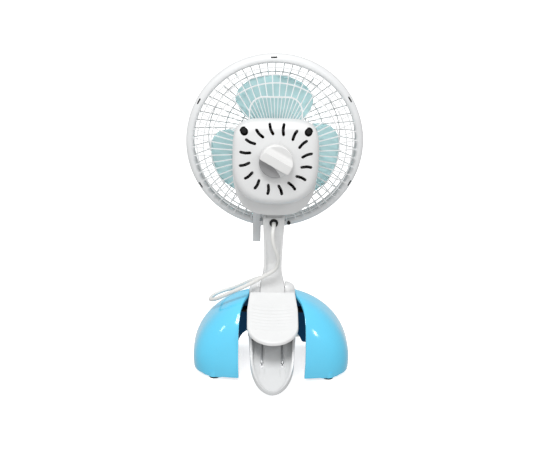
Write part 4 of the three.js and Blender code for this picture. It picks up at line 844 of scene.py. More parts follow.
def lobe(side):
    """A horn-like lobe beside the stem's foot, round from the side and falling away outwards."""
    inner = STEM_FOOT_HALF_WIDTH + SLIDE_GAP
    flat = inner + LOBE_FLAT
    back, front = STEM_Y + LOBE_RADIUS + 2, STEM_Y - LOBE_RADIUS - 2
    high, low = LOBE_ROOT
    rows = []
    for share in evenly(0, 1, 14):
        x = inner + (LOBE_OUTER_X - inner) * (1 - (1 - share) ** 1.6)
        out = max(0, (x - flat) / (LOBE_OUTER_X - flat))
        round_share = sqrt(max(0, 1 - out ** LOBE_POWER))
        radius = LOBE_TIP_RADIUS + (LOBE_RADIUS - LOBE_TIP_RADIUS) * round_share
        ring = [(back, high), *arc((STEM_Y, FOLD_Z), radius, 0, 180, 20), (front, high), (front, low),
                (back, low)]
        rows.append([(side * x, y, z) for y, z in ring])
    return skin(rows, closed=True, caps=True)


def crown_block():
    """The middle of the dome's crown, in white, a little proud of the blue."""
    heights = [(share, z) for share, z in dome_profile(CROWN_RISE) if z > CROWN_FROM_Z]
    shrink = DOME_HALF_WIDTH / (DOME_HALF_WIDTH + CROWN_RISE)
    top = []
    for y in evenly(SADDLE_FRONT_Y, SADDLE_BACK_Y, 16):
        top.append([(x, y, between(heights, plan_share(x, y) * shrink))
                    for x in evenly(-LOBE_OUTER_X, LOBE_OUTER_X, 24)])
    right = [line[-1] for line in top[1:-1]]
    left = [line[0] for line in top[1:-1]]
    rim = [*top[0], *right, *reversed(top[-1]), *reversed(left)]
    foot = [(x, y, SADDLE_BOTTOM_Z) for x, y, _ in rim]
    return joined(skin(top), skin([rim, foot], closed=True), (foot, [tuple(range(len(foot)))]))


def cheek(inner, outer):
    """A plate from inside the shield down round the hinge pin."""
    outline = arc((HINGE_Y, HINGE_Z), CHEEK_RADIUS, 180, 360, 16)
    for y in (HINGE_Y + CHEEK_TOP_HALF, HINGE_Y - CHEEK_TOP_HALF):
        outline.append((y, between(shield_heights, y) - CHEEK_TOP_DROP))
    return prism(outline, inner, outer, "x")


def make_saddle():
    """The clamp's upper leg: crown block, lobes, shield and cheeks, and the upper jaw on its arm."""
    slot_half = STEM_FOOT_HALF_WIDTH + SLIDE_GAP
    slot_back = STEM_Y + STEM_FOOT_RADIUS + SLIDE_GAP
    slot_bottom = FOLD_Z - STEM_FOOT_RADIUS - SLIDE_GAP
    saddle = raw_object("clamp_saddle", crown_block())
    for side in (1, -1):
        combine(saddle, lobe(side), "UNION")
    combine(saddle, slab(slot_half, SADDLE_FRONT_Y - 5, slot_back, slot_bottom, 100))
    combine(saddle, pin_hole(STEM_Y, FOLD_Z))
    soften(saddle, 0.6, 2, 40)
    attach(saddle, make_shield())
    # The cheeks, the jaw arm and plate, the legs and the tab take material 1: near-black painted shade for
    # the shade they sit in under the crown.
    cheek_outer = LEVER_HALF_WIDTH - LEVER_WALL - SLIDE_GAP
    for side in (1, -1):
        low, high = sorted((side * cheek_outer, side * (cheek_outer - CHEEK_THICKNESS)))
        add_part(saddle, cheek(low, high), 0.4, 1, [pin_hole(HINGE_Y, HINGE_Z)])
    jaw_top = UPPER_JAW_Z + JAW_ARM_THICKNESS
    arm = slice_across([
        (SADDLE_BACK_Y - 4, SADDLE_BOTTOM_Z + 1), (SADDLE_FRONT_Y, SADDLE_BOTTOM_Z + 1),
        (SADDLE_FRONT_Y - 4, SADDLE_BOTTOM_Z - 4), (JAW_FRONT_Y, jaw_top), (JAW_FRONT_Y, UPPER_JAW_Z),
        (JAW_BACK_Y, UPPER_JAW_Z), (SADDLE_BACK_Y - 8, SADDLE_BOTTOM_Z - 8),
    ], ARM_HALF_WIDTH)
    plate = slab(JAW_PAD_HALF_WIDTH, JAW_FRONT_Y, JAW_BACK_Y, UPPER_JAW_Z, jaw_top)
    legs = [block(low, low + 4, TAB_FRONT_Y + 1, TAB_BACK_Y, 59, 69) for low in (17, -21)]
    for shape in (arm, plate, *legs):
        add_part(saddle, shape, 0.6, 1)
    screw_x, screw_y = TAB_SCREW
    holes = [bar("z", TAB_SCREW_RADIUS, 50, 65, (x, screw_y)) for x in (screw_x, -screw_x)]
    tab = slab(TAB_HALF_WIDTH, TAB_FRONT_Y, TAB_BACK_Y, 57, 60)
    add_part(saddle, tab, 0.6, 1, holes)
    finish_piece(saddle, WHITE, "base", ["saddle"], second=DARK_AND_PAINTED_SHADE)


make_saddle()

# ---- clamp, lower leg

TRAY_TIP_Y = 51.0
TRAY_TIP_Z = -47.0
TRAY_TIP_HALF_WIDTH = 22.6
TRAY_TIP_REACH = 30.0
TRAY_TIP_WALL = 4.0
TRAY_WIDE_Y = 21.0
TRAY_FLOOR_DROP = 9.4
TRAY_SLOPE = (TRAY_TIP_Z + TRAY_FLOOR_DROP) / TRAY_TIP_Y
TRAY_SHOULDER = CHEEK_RADIUS * 0.72
SPRING_HOOK_Y = 66.0
SPRING_INNER_X = 3.4
SPRING_TURNS = 3
SPRING_PITCH = 2.35
SPRING_RADIUS = 4.0
SPRING_WIRE = 1.6
SPRING_ARM_X = SPRING_INNER_X + SPRING_TURNS * SPRING_PITCH
SPRING_LOOP_Y = 62.0
SPRING_LOOP_DROP = 3.1
SPRING_STEPS = 24


def tray_under(y):
    """Underside of the tray's floor, from the hinge pin."""
    return -TRAY_FLOOR_DROP + TRAY_SLOPE * y


def tray_wall_top(y):
    """Top of the tray's wall: round the pin, then down in a line to the tip."""
    if y <= TRAY_SHOULDER:
        return sqrt(CHEEK_RADIUS ** 2 - min(CHEEK_RADIUS, abs(y)) ** 2)
    share = (y - TRAY_SHOULDER) / (TRAY_TIP_Y + 1 - TRAY_SHOULDER)
    return TRAY_SHOULDER + (TRAY_TIP_Z + TRAY_TIP_WALL - TRAY_SHOULDER) * share


def make_lever():
    """The squeeze lever: a scoop-shaped tray with spring slots, rib pairs and an arm to the lower jaw."""
    outline = tongue_outline(LEVER_HALF_WIDTH, TRAY_TIP_HALF_WIDTH, -CHEEK_RADIUS, TRAY_WIDE_Y,
                             TRAY_TIP_Y, TRAY_TIP_REACH, 48)
    rows = tongue_rows(outline, TRAY_TIP_Y - TRAY_TIP_REACH, lambda _, y: tray_under(y), sense=-1,
                       edge=2.2, rings=14, wall_end=tray_wall_top)
    lever = raw_object("squeeze_lever", moved(skin(rows), 0, HINGE_Y, HINGE_Z))
    thicken(lever, LEVER_WALL)
    soften(lever, 0.7, 3, 50)
    # The walls cut for the spring arms and the pin take material 1: near-black painted shade.
    dress(lever, TRAY_PAINTED_SHADE, DARK_AND_PAINTED_SHADE)
    for x in (SPRING_ARM_X, -SPRING_ARM_X):
        z = HINGE_Z + tray_under(SPRING_HOOK_Y - HINGE_Y)
        combine(lever, block(x - 1.4, x + 1.4, SPRING_HOOK_Y - 4, SPRING_HOOK_Y + 2, z - 5, z + 5))
    combine(lever, pin_hole(HINGE_Y, HINGE_Z))
    root = HINGE_Z + tray_under(4)
    under = HINGE_Z + tray_under(0)
    jaw_low = LOWER_JAW_Z - JAW_ARM_THICKNESS
    arm = slice_across([
        (HINGE_Y + 4, root + 0.5), (HINGE_Y - CHEEK_RADIUS, under + LEVER_WALL),
        (HINGE_Y - CHEEK_RADIUS - 6, under + LEVER_WALL - 2), (JAW_BACK_Y, LOWER_JAW_Z),
        (JAW_FRONT_Y, LOWER_JAW_Z), (JAW_FRONT_Y, jaw_low), (JAW_BACK_Y, jaw_low),
        (HINGE_Y - CHEEK_RADIUS, under - 2), (HINGE_Y + 4, root + 0.1),
    ], ARM_HALF_WIDTH)
    plate = slab(JAW_PAD_HALF_WIDTH, JAW_FRONT_Y, JAW_BACK_Y, jaw_low, LOWER_JAW_Z)
    rib_line = [(y, HINGE_Z + tray_under(y - HINGE_Y) + lift)
                for y, lift in ((70, 1.6), (70, 3.4), (74, 3.6), (83, 2.6), (84, 1.6))]
    ribs = [prism(rib_line, x + offset - 0.5, x + offset + 0.5, "x")
            for x in (SPRING_ARM_X, -SPRING_ARM_X) for offset in (-2.6, 2.6)]
    for shape in (arm, plate, *ribs):
        add_part(lever, shape, 0.3)
    # The lever's look is a little greyer than the white plastic: a painted shade for the shadow that the
    # shield casts into the tray.
    finish_piece(lever, WHITE, "jaw", ["jaw_lever"])


def spring_line():
    """The spring's wire, from the pin: a tray arm, a coil on the pin, the loop under the shield, and back."""
    tilt = atan(TRAY_SLOPE)

    def arm(reach, lift):
        down = SPRING_RADIUS - lift
        return (SPRING_ARM_X, reach * cos(tilt) + down * sin(tilt),
                reach * sin(tilt) - down * cos(tilt))

    hook = (SPRING_HOOK_Y - HINGE_Y - SPRING_RADIUS * sin(tilt)) / cos(tilt)
    half = [arm(hook, -2.6), arm(hook - 0.3, -0.8), arm(hook - 1.2, 0), arm(hook * 0.6, 0),
            arm(hook * 0.25, 0)]
    loop_y = SPRING_LOOP_Y - HINGE_Y
    loop_z = between(shield_heights, SPRING_LOOP_Y) - SPRING_LOOP_DROP - SPRING_WIRE / 2 - HINGE_Z
    loop_turn = atan2(loop_z, loop_y) - asin(SPRING_RADIUS / hypot(loop_y, loop_z))
    start = tilt - pi / 2
    sweep = (SPRING_TURNS + 1) * 2 * pi - (pi + loop_turn - tilt)
    steps = round(sweep / (2 * pi) * SPRING_STEPS)
    for x, turn in zip(evenly(SPRING_ARM_X, SPRING_INNER_X, steps), evenly(start, start - sweep, steps)):
        half.append((x, SPRING_RADIUS * cos(turn), SPRING_RADIUS * sin(turn)))
    half.append((SPRING_INNER_X, loop_y - 2, loop_z - 2 * tan(loop_turn)))
    half.append((SPRING_INNER_X - 0.7, loop_y - 0.5, loop_z - 0.2))
    half.append((SPRING_INNER_X - 2, loop_y, loop_z))
    return half + [(-x, y, z) for x, y, z in reversed(half)]


def make_spring():
    """The torsion spring as one wire, between the base and the jaw."""
    line = smooth_line([(x, y + HINGE_Y, z + HINGE_Z) for x, y, z in spring_line()], 2)
    spring = raw_object("clamp_spring", tube(line, SPRING_WIRE / 2, 10))
    dress(spring, STEEL)
    spring.data.shade_smooth()
    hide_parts("jaw_spring")
    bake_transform(spring)


make_lever()
make_spring()

# ---- stem

TILT_RISE = 74.5
TILT_Z = FOLD_Z + TILT_RISE
STEM_HALF_DEPTH = 8.0
EAR_RADIUS = 9.3
EAR_THICKNESS = 2.8
STEM_TOP_HALF_WIDTH = 11.1
LUG_RADIUS = 6.0
LUG_GAP = 1.2
WEB_THICKNESS = 1.7
CORD_HOLE_Z = FOLD_Z + 76.0
CORD_HOLE_RADIUS = 3.6
STEM_SIDE = [(12.7, 0, 4), (10.0, 0, 17.1), (9.4, 0, 28.5), (10.0, 0, 50.5), (11.1, 0, 74.5)]
CHANNEL_WALL = 2.6
CHANNEL_FLOOR_Y = 4.5
ABOVE = 30.0


def from_stem_foot(outline):
    """An outline of (y, z) from the fold pin, in the dome's axes."""
    return [(y + STEM_Y, z + FOLD_Z) for y, z in outline]


def stem_from_behind(inset):
    """The stem's outline from behind, drawn in by an inset, right through from front to back."""
    side = [(p.x - inset, p.z) for p in smooth_line(STEM_SIDE, 8)]
    side = [(STEM_FOOT_HALF_WIDTH - inset, -STEM_FOOT_RADIUS - 1), *side,
            (STEM_TOP_HALF_WIDTH - inset, TILT_RISE + 20)]
    return prism([(x, z + FOLD_Z) for x, z in both_sides(side)], -ABOVE, ABOVE, "y")


def make_stem():
    """The flat stem: hollow at the back, with two ears round the head's lug and a hole for the cord."""
    side = arc((0, 0), STEM_FOOT_RADIUS, 180, 360, 32)
    side += [(STEM_HALF_DEPTH, STEM_FOOT_RADIUS), (STEM_HALF_DEPTH, TILT_RISE)]
    side += arc((0, TILT_RISE), EAR_RADIUS, 30, 162, 24)
    side += [(-STEM_HALF_DEPTH, TILT_RISE - 4)]
    stem = raw_object("folding_stem", slice_across(from_stem_foot(side), STEM_FOOT_HALF_WIDTH))
    combine(stem, stem_from_behind(0), "INTERSECT")
    channel = raw_object("channel", slice_across(from_stem_foot([
        (STEM_HALF_DEPTH + 5, 9), (STEM_HALF_DEPTH, 16), (CHANNEL_FLOOR_Y, 30),
        (CHANNEL_FLOOR_Y, TILT_RISE - 40), (STEM_HALF_DEPTH, TILT_RISE - 12),
        (STEM_HALF_DEPTH + 5, TILT_RISE - 6)]), 20))
    combine(channel, stem_from_behind(CHANNEL_WALL), "INTERSECT")
    combine(stem, channel)
    inner = STEM_TOP_HALF_WIDTH - EAR_THICKNESS
    web_front = STEM_Y + STEM_HALF_DEPTH - WEB_THICKNESS
    combine(stem, slab(inner, -20, web_front, TILT_Z - LUG_RADIUS - LUG_GAP, TILT_Z + ABOVE))
    combine(stem, slab(inner, -20, STEM_Y + 20, CORD_HOLE_Z + 6.6, TILT_Z + ABOVE))
    combine(stem, bar("y", CORD_HOLE_RADIUS, -20, 20, (0, CORD_HOLE_Z)))
    combine(stem, pin_hole(STEM_Y, FOLD_Z))
    combine(stem, pin_hole(STEM_Y, TILT_Z))
    soften(stem, 0.7, 3, 40)
    finish_piece(stem, WHITE, "stem", ["stem"])


def make_grommet():
    """The dark bush that the cord leaves the stem by."""
    bore = CORD_RADIUS + 0.1
    neck = CORD_HOLE_RADIUS - 0.3
    back = STEM_Y + STEM_HALF_DEPTH
    grommet = lathe([
        (bore, back - WEB_THICKNESS - 0.1), (neck, back - WEB_THICKNESS - 0.1), (neck, back + 0.3),
        (CORD_HOLE_RADIUS + 0.9, back + 0.3), (CORD_HOLE_RADIUS + 0.8, back + 1.1),
        (CORD_HOLE_RADIUS + 0.2, back + 1.5), (bore + 0.8, back + 1.7), (bore + 0.4, back + 2.6),
        (bore, back + 2.6),
    ], 32)
    finish_piece(raw_object("lead_grommet", moved(grommet, 0, 0, CORD_HOLE_Z)), DARK_AND_PAINTED_SHADE, "stem",
                 ["cord_grommet"])


make_stem()
make_grommet()

# ---- head housings

SHAFT_Z = 240.0
COVER_HALF_WIDTH = 43.5
COVER_HALF_HEIGHT = 41.5
COVER_TOP_DROP = 3.0
COVER_DOWN = 48.0
COVER_CORNER = 10.0
COVER_MIDDLE_DROP = 4.7
FACE_BULGE = 2.4
COVER_Z = SHAFT_Z - 3.3
COVER_SEAM_Y = 20.0
COVER_CORNER_Y = 31.0
COVER_FACE_Y = 42.0
COVER_WALL = 2.2
CHIN_HALF_HEIGHT = 64.0
HOUSING_FRONT_Y = -3.2
UPPER_POWER = 4.2
COVER_LOWER_POWER = 2.7
CHIN_POWER = 3.0
HEAD_SIDES = 96
SCREW_X = 32.0
SCREW_Z = COVER_Z + 29.0
KNOB_Z = SHAFT_Z - 2.6
SPINDLE_HOLE_RADIUS = 3.4
VENT_COUNT = 16
VENT_TURN = 12.2
VENT_INNER = 25.5
VENT_OUTER = 37.5
VENT_WIDTH = 3.0
VENT_LEAN = [(0, -3.4), (0.12, -3.1), (0.3, -1.4), (0.5, 0), (0.7, 0.35), (0.88, 0.25), (1, -0.1)]
REAR_RIM_Y = -16.0
REAR_HUB_Y = 12.0
REAR_HUB_RADIUS = 20.0
GUARD_RADIUS = 92.0
DISH_POWER = 1.4
DISH_GAP = 0.4
LUG_LEAN = radians(25)


def on_shaft(profile, sides):
    """A closed profile of (radius, y) turned about the motor's shaft."""
    return moved(lathe(profile, sides), 0, 0, SHAFT_Z)


def rear_guard_y(radius):
    """Where the rear guard's dish lies at a distance from the shaft."""
    share = max(0, (radius - REAR_HUB_RADIUS) / (GUARD_RADIUS - REAR_HUB_RADIUS))
    return REAR_RIM_Y + (REAR_HUB_Y - REAR_RIM_Y) * (1 - share ** DISH_POWER)


def head_ring(inset, y, down=COVER_DOWN, lower_power=COVER_LOWER_POWER, top=COVER_TOP_DROP):
    """A rounded-square section of the head, in evenly spaced points. Its top can be lowered."""
    ring = []
    for i in range(HEAD_SIDES):
        angle = 2 * pi * (i + 0.5) / HEAD_SIDES
        c, s = cos(angle), sin(angle)
        half_height = (COVER_HALF_HEIGHT - top if s >= 0 else down) - inset
        power = UPPER_POWER if s >= 0 else lower_power
        size = 1 / power_norm(c / (COVER_HALF_WIDTH - inset), s / half_height, power)
        ring.append((size * c, y, COVER_Z + size * s))
    return ring


def vent(middle):
    """What one S-shaped vent cuts out of the cover, about the knob and round an angle."""
    steps = 20
    length = VENT_OUTER - VENT_INNER
    line = []
    for share in evenly(0, 1, steps):
        turn = middle - radians(between(VENT_LEAN, share))
        radius = VENT_INNER + length * share
        line.append(Vector((radius * cos(turn), radius * sin(turn))))
    edges = [[], []]
    for i, point in enumerate(line):
        ahead = (line[min(i + 1, steps)] - line[max(i - 1, 0)]).normalized()
        from_end = min(i, steps - i) / steps * length
        rounding = max(0, 1 - from_end / (VENT_WIDTH / 2))
        half = max(0.2, sqrt(1 - rounding ** 2)) * VENT_WIDTH / 2
        side = Vector((-ahead.y, ahead.x)) * half
        edges[0].append(point + side)
        edges[1].append(point - side)
    outline = [(p.x, p.y + KNOB_Z) for p in edges[0] + edges[1][::-1]]
    return prism(outline, COVER_FACE_Y - 14, COVER_FACE_Y + 5, "y")


def make_cover():
    """The motor cover: a pillowed face with S vents round the knob and two screw wells."""
    rows = [head_ring(0, y) for y in (COVER_SEAM_Y, 24, 28, COVER_CORNER_Y)]
    depth = COVER_FACE_Y - COVER_CORNER_Y - FACE_BULGE
    for share in evenly(0, 1, 8)[1:]:
        turn = pi / 2 * share
        rows.append(head_ring(COVER_CORNER * (1 - cos(turn)), COVER_CORNER_Y + depth * sin(turn)))
    for share in evenly(0, 1, 8)[1:]:
        inset = COVER_CORNER + (COVER_HALF_HEIGHT - COVER_TOP_DROP - COVER_CORNER) * share * 0.999
        rows.append(head_ring(inset, COVER_FACE_Y - FACE_BULGE * (1 - share) ** 2))
    rows.append([(0, COVER_FACE_Y, COVER_Z - COVER_MIDDLE_DROP)] * HEAD_SIDES)
    cover = raw_object("motor_cover", skin(rows, closed=True))
    # The cover's inside, the vents' walls, the spindle hole and the screw wells take material 1: near-black
    # painted shade, so that they read as dark hollows.
    dress(cover, WHITE, DARK_AND_PAINTED_SHADE)
    thicken(cover, COVER_WALL, inside=1)
    soften(cover, 0.35, 2, 50)
    turns = [radians(VENT_TURN + 360 / VENT_COUNT * k) for k in range(VENT_COUNT)]
    combine(cover, joined(*(vent(turn) for turn in turns)))
    wells = [bar("y", 4.0, COVER_FACE_Y - 14, COVER_FACE_Y + 5, (x, SCREW_Z)) for x in (SCREW_X, -SCREW_X)]
    combine(cover, joined(*wells, bar("y", SPINDLE_HOLE_RADIUS, 20, 60, (0, KNOB_Z))))
    well = lathe([(1.9, 33), (4.6, 33), (4.6, 36.5), (4.02, 36.7), (4.02, 35), (1.9, 35)], 32)
    for x in (SCREW_X, -SCREW_X):
        add_part(cover, moved(well, x, 0, SCREW_Z), number=1)
    finish_piece(cover, WHITE, "head", ["rear_cover"], sharp=38)


def lug():
    """The lug under the chin that the stem's ears hold: round below and leaning up to its root."""
    root = COVER_Z - CHIN_HALF_HEIGHT + 3
    reach = (root - TILT_Z - LUG_RADIUS * sin(LUG_LEAN)) / cos(LUG_LEAN)
    outline = arc((STEM_Y, TILT_Z), LUG_RADIUS, 180, 385, 32)
    outline.append((STEM_Y + LUG_RADIUS * cos(LUG_LEAN) - reach * sin(LUG_LEAN), root))
    outline.append((STEM_Y - LUG_RADIUS - 1.5, root))
    return slice_across(outline, STEM_TOP_HALF_WIDTH - EAR_THICKNESS - SLIDE_GAP)


def make_housing():
    """The half-shell between the cover and the guard, with the chin and the lug that the stem holds."""
    sections = ((HOUSING_FRONT_Y, 4.6, 9), (HOUSING_FRONT_Y + 0.3, 4, 9), (-1, 3.2, 8.4), (2.5, 1.9, 8),
                (6, 1, 7.4), (12, 0.35, 5.8), (16, 0.1, 4.4), (COVER_SEAM_Y - 0.8, 0, 3.2),
                (COVER_SEAM_Y - 0.3, 0.4, 3))
    rows = [head_ring(inset, y, CHIN_HALF_HEIGHT, CHIN_POWER, top) for y, inset, top in sections]
    housing = raw_object("motor_housing", skin(rows, closed=True, caps=True))
    combine(housing, lug(), "UNION")
    dish = [(0, -40), (GUARD_RADIUS, -40)]
    dish += [(radius, rear_guard_y(radius) + DISH_GAP)
             for radius in (GUARD_RADIUS, 84, 76, 69, 62, 56, 50, 44, 38, 33, 28, 24, REAR_HUB_RADIUS)]
    dish.append((0, REAR_HUB_Y + DISH_GAP))
    combine(housing, on_shaft(dish, 96))
    cavity = [head_ring(COVER_WALL + 1, REAR_HUB_Y + 3, COVER_HALF_HEIGHT),
              head_ring(COVER_WALL, COVER_SEAM_Y + 5, COVER_HALF_HEIGHT)]
    combine(housing, skin(cavity, closed=True, caps=True))
    combine(housing, on_shaft([(0, 8), (9, 8), (9, 16), (0, 16)], 40), "UNION")
    combine(housing, on_shaft([(0, 9), (6.3, 9), (6.3, 30), (0, 30)], 40))
    combine(housing, bar("y", 2.9, -20, 40, (0, SHAFT_Z)))
    combine(housing, pin_hole(STEM_Y, TILT_Z))
    post = lathe([(1.9, 18), (4.6, 14.2), (4.6, 32.7), (1.9, 32.7)], 32)
    for x in (SCREW_X, -SCREW_X):
        add_part(housing, moved(post, x, 0, SCREW_Z))
    soften(housing, 0.3, 2, 50)
    finish_piece(housing, WHITE, "head", ["front_housing"])


make_cover()
make_housing()

# ---- speed knob

KNOB_RADIUS = 17.0
KNOB_EDGE = 1.2
KNOB_HEIGHT = 11.5
KNOB_SKIRT = 5.0
KNOB_GRIP_HALF_WIDTH = 4.6
KNOB_GRIP_TURN = radians(30)
KNOB_SEAT_Y = COVER_FACE_Y + 0.5
KNOB_SHADE_EDGE_X = 4.3
KNOB_SHADE_EDGE_LEAN = 0.59
KNOB_SIDES = 128
KNOB_RINGS = 28


def above_grip(x, z):
    """How far above the grip's middle line a place on the knob lies."""
    return z * cos(KNOB_GRIP_TURN) - x * sin(KNOB_GRIP_TURN)


def knob_height(x, z):
    """The knob's face over its seat: flat along the grip, and hollowed down to the skirt beside it."""
    off = abs(above_grip(x, z))
    top = KNOB_HEIGHT - 0.5 * (hypot(x, z) / KNOB_RADIUS) ** 4
    if off <= KNOB_GRIP_HALF_WIDTH:
        return top
    run = (off - KNOB_GRIP_HALF_WIDTH) / (KNOB_RADIUS - KNOB_GRIP_HALF_WIDTH)
    low = KNOB_SKIRT + 0.8 * run
    return low + (top - low) * max(0, 1 - run * 1.9) ** 2.2


def make_knob():
    """A round knob with a flat grip across it and a hollow scooped out on each side."""
    rows = []
    for radius in evenly(0, KNOB_RADIUS - KNOB_EDGE, KNOB_RINGS):
        ring = circle(max(0.02, radius), KNOB_SIDES)
        rows.append([(x, KNOB_SEAT_Y + knob_height(x, z), z) for x, z in ring])
    edge_row = rows[-1]
    for grow, drop in ((0.5, 0.12), (0.9, 0.45), (KNOB_EDGE, 1.1)):
        scale = 1 + grow / (KNOB_RADIUS - KNOB_EDGE)
        rows.append([(x * scale, y - drop, z * scale) for x, y, z in edge_row])
    rows.append([(x, KNOB_SEAT_Y + 1, z) for x, _, z in rows[-1]])
    shrink = (KNOB_RADIUS - 1) / KNOB_RADIUS
    rows.append([(x * shrink, KNOB_SEAT_Y, z * shrink) for x, _, z in rows[-1]])
    knob = raw_object("dial", moved(skin(rows, closed=True, caps=True), 0, 0, KNOB_Z))
    # Faces of the lower scoop, past a slanted edge, take the grey painted shade.
    for face in knob.data.polygons:
        x, z = face.center.x / MM, face.center.z / MM - KNOB_Z
        if above_grip(x, z) < -KNOB_GRIP_HALF_WIDTH and x > KNOB_SHADE_EDGE_X + z * KNOB_SHADE_EDGE_LEAN:
            face.material_index = 1
    low, high = KNOB_SEAT_Y - 6.4, KNOB_SEAT_Y + 1
    add_part(knob, moved(lathe([(0, low), (3, low), (3, high), (0, high)], 24), 0, 0, KNOB_Z))
    finish_piece(knob, KNOB, "knob", ["speed_knob"], second=KNOB_FLANK_PAINTED_SHADE, sharp=30)


make_knob()

# ---- guards

SPOKES = 56
ARCH_SPOKES = 84
RIM_INNER = GUARD_RADIUS - 8.5
RIM_SIDES = 160
RING_SIDES = 128
REAR_RIM_FRONT_Y = REAR_RIM_Y - 7.6
FRONT_RIM_REAR_Y = REAR_RIM_FRONT_Y - 0.3
FRONT_RIM_FRONT_Y = FRONT_RIM_REAR_Y - 8.0
FRONT_RISE = 31.0
FRONT_POWER = 2.2
FRONT_HUB_RADIUS = 17.5
CAP_RADIUS = 19.5
ARCH_RIB_HALF_WIDTH = 26.7
ARCH_RIB_TOP = 52.5
ARCH_RIB_CORNER = 14.6
RIB_WIDTH = 1.0
RING_WIDTH = 1.2
RIB_DEPTH = 2.2
SCREW_HOLE_X = -16.3
SCREW_HOLE_Z = SHAFT_Z - 85.97
SCREW_HOLE_RADIUS = 1.4
SNAP_SLITS = [28.4 + 60 * k for k in range(6)]
LATCH_X = 17.2
LATCH_HALF_WIDTH = 4.2
LATCH_THICKNESS = 2.0
LATCH_TOP = 70.0
LATCH_END = 107.5


def front_guard_y(radius):
    """Where the front guard's dish lies at a distance from the shaft."""
    return FRONT_RIM_FRONT_Y - FRONT_RISE * (1 - (radius / GUARD_RADIUS) ** FRONT_POWER)


def rear_dish(radius):
    """The middle of a rear rib, whose back is the guard's surface."""
    return rear_guard_y(radius) - RIB_DEPTH / 2


def front_dish(radius):
    """The middle of a front rib, whose front is the guard's surface."""
    return front_guard_y(radius) + RIB_DEPTH / 2


def rib(points, width, depth, closed=False):
    """A moulded rib of rounded section along points, standing along Y."""
    rows = []
    count = len(points)
    points = [Vector(p) for p in points]
    half, deep = width / 2, depth / 2
    section = [(-half, 0.55 * deep), (-0.6 * half, deep), (0.6 * half, deep), (half, 0.55 * deep)]
    section += [(u, -v) for u, v in reversed(section)]
    for i, point in enumerate(points):
        ahead = points[(i + 1) % count] if closed else points[min(i + 1, count - 1)]
        behind = points[i - 1] if closed or i else points[0]
        tangent = (ahead - behind).normalized()
        side = tangent.cross(Vector((0, 1, 0))).normalized()
        normal = side.cross(tangent)
        rows.append([point + side * u + normal * v for u, v in section])
    if closed:
        rows.append(rows[0])
    return skin(rows, closed=True, caps=not closed)


def spokes(spans, dish_y, steps, width=RIB_WIDTH):
    """Radial ribs on a dish, each given as (degrees, inner radius, outer radius)."""
    shapes = []
    for degrees, inner, outer in spans:
        line = [(radius, dish_y(radius), 0) for radius in evenly(inner, outer, steps)]
        shapes.append(turned_about_y(rib(line, width, RIB_DEPTH), degrees))
    return shapes


def ring_rib(radius, dish_y, width=RING_WIDTH, depth=RIB_DEPTH):
    line = [(x, dish_y(radius), z) for x, z in circle(radius, RING_SIDES)]
    return rib(line, width, depth, closed=True)


def arch_outline():
    """The arch rib round the motor cover's top, from one foot over to the other."""
    corner = (ARCH_RIB_HALF_WIDTH - ARCH_RIB_CORNER, ARCH_RIB_TOP - ARCH_RIB_CORNER)
    right = [(ARCH_RIB_HALF_WIDTH, z) for z in (10, 15, 20, 25, 30, 35)]
    return both_sides(right + arc(corner, ARCH_RIB_CORNER, 0, 90, 10))


def arch_radius(degrees):
    """How far from the shaft the arch rib lies at an angle, or the hub's ring where there is no arch."""
    c, s = cos(radians(degrees)), sin(radians(degrees))
    best = 0.0
    line = arch_outline()
    for (ax, az), (bx, bz) in zip(line, line[1:]):
        cross_a, cross_b = ax * s - az * c, bx * s - bz * c
        if cross_a * cross_b <= 0 and cross_a != cross_b:
            t = cross_a / (cross_a - cross_b)
            best = max(best, (ax + (bx - ax) * t) * c + (az + (bz - az) * t) * s)
    return best or REAR_HUB_RADIUS + 3


def add_hoop(guard, profile, low, high, slits=()):
    """Adds a guard's rim, with the hole of the screw that joins the rims, and a slit at each snap."""
    hoop = raw_object("hoop", on_shaft(profile, RIM_SIDES))
    if slits:
        # The snap slits' and the screw hole's walls take material 1: near-black painted shade.
        dress(hoop, GUARD, DARK_AND_PAINTED_SHADE)
        slit = block(88.9, 90.3, high - 5, high + 2, -3.2, 3.2)
        combine(hoop, joined(*(moved(turned_about_y(slit, degrees), 0, 0, SHAFT_Z) for degrees in slits)))
    combine(hoop, bar("y", SCREW_HOLE_RADIUS, low - 5, high + 5, (SCREW_HOLE_X, SCREW_HOLE_Z)))
    soften(hoop, 0.25, 1, 60)
    attach(guard, hoop)


def make_rear_guard():
    """The rear cage: long spokes, denser ones under the arch, rings and the snapped rim."""
    hub = REAR_HUB_RADIUS + 2
    angles = [360 / SPOKES * (k + 0.5) for k in range(SPOKES)]
    shapes = spokes([(degrees, arch_radius(degrees), RIM_INNER + 1) for degrees in angles], rear_dish, 12)
    angles = [360 / ARCH_SPOKES * (k + 0.5) for k in range(ARCH_SPOKES)]
    spans = [(degrees, hub, arch_radius(degrees)) for degrees in angles
             if sin(radians(degrees)) > 0.2 and arch_radius(degrees) > hub + 4]
    shapes += spokes(spans, rear_dish, 8, 0.8)
    arch = [(x, rear_dish(hypot(x, z)), z) for x, z in arch_outline()]
    shapes += [rib(arch, 1.5, 2.6), ring_rib(hub, rear_dish, 2.4, 2.4)]
    shapes += [ring_rib(radius, rear_dish) for radius in (66, 73.8, 80.5)]
    guard = raw_object("rear_cage", moved(joined(*shapes), 0, 0, SHAFT_Z))
    inner, outer, low, high = RIM_INNER, GUARD_RADIUS, REAR_RIM_FRONT_Y, REAR_RIM_Y
    add_hoop(guard, [
        (inner, low), (inner, high - 2.2), (inner + 0.6, high - 0.9), (inner + 1.8, high - 0.2),
        (inner + 3.2, high), (outer - 3.4, high - 0.5), (outer - 1.4, high - 1.6),
        (outer - 0.4, high - 3), (outer, high - 4.6), (outer, low),
    ], low, high, SNAP_SLITS)
    finish_piece(guard, GUARD, "head", ["rear_guard"], second=DARK_AND_PAINTED_SHADE)


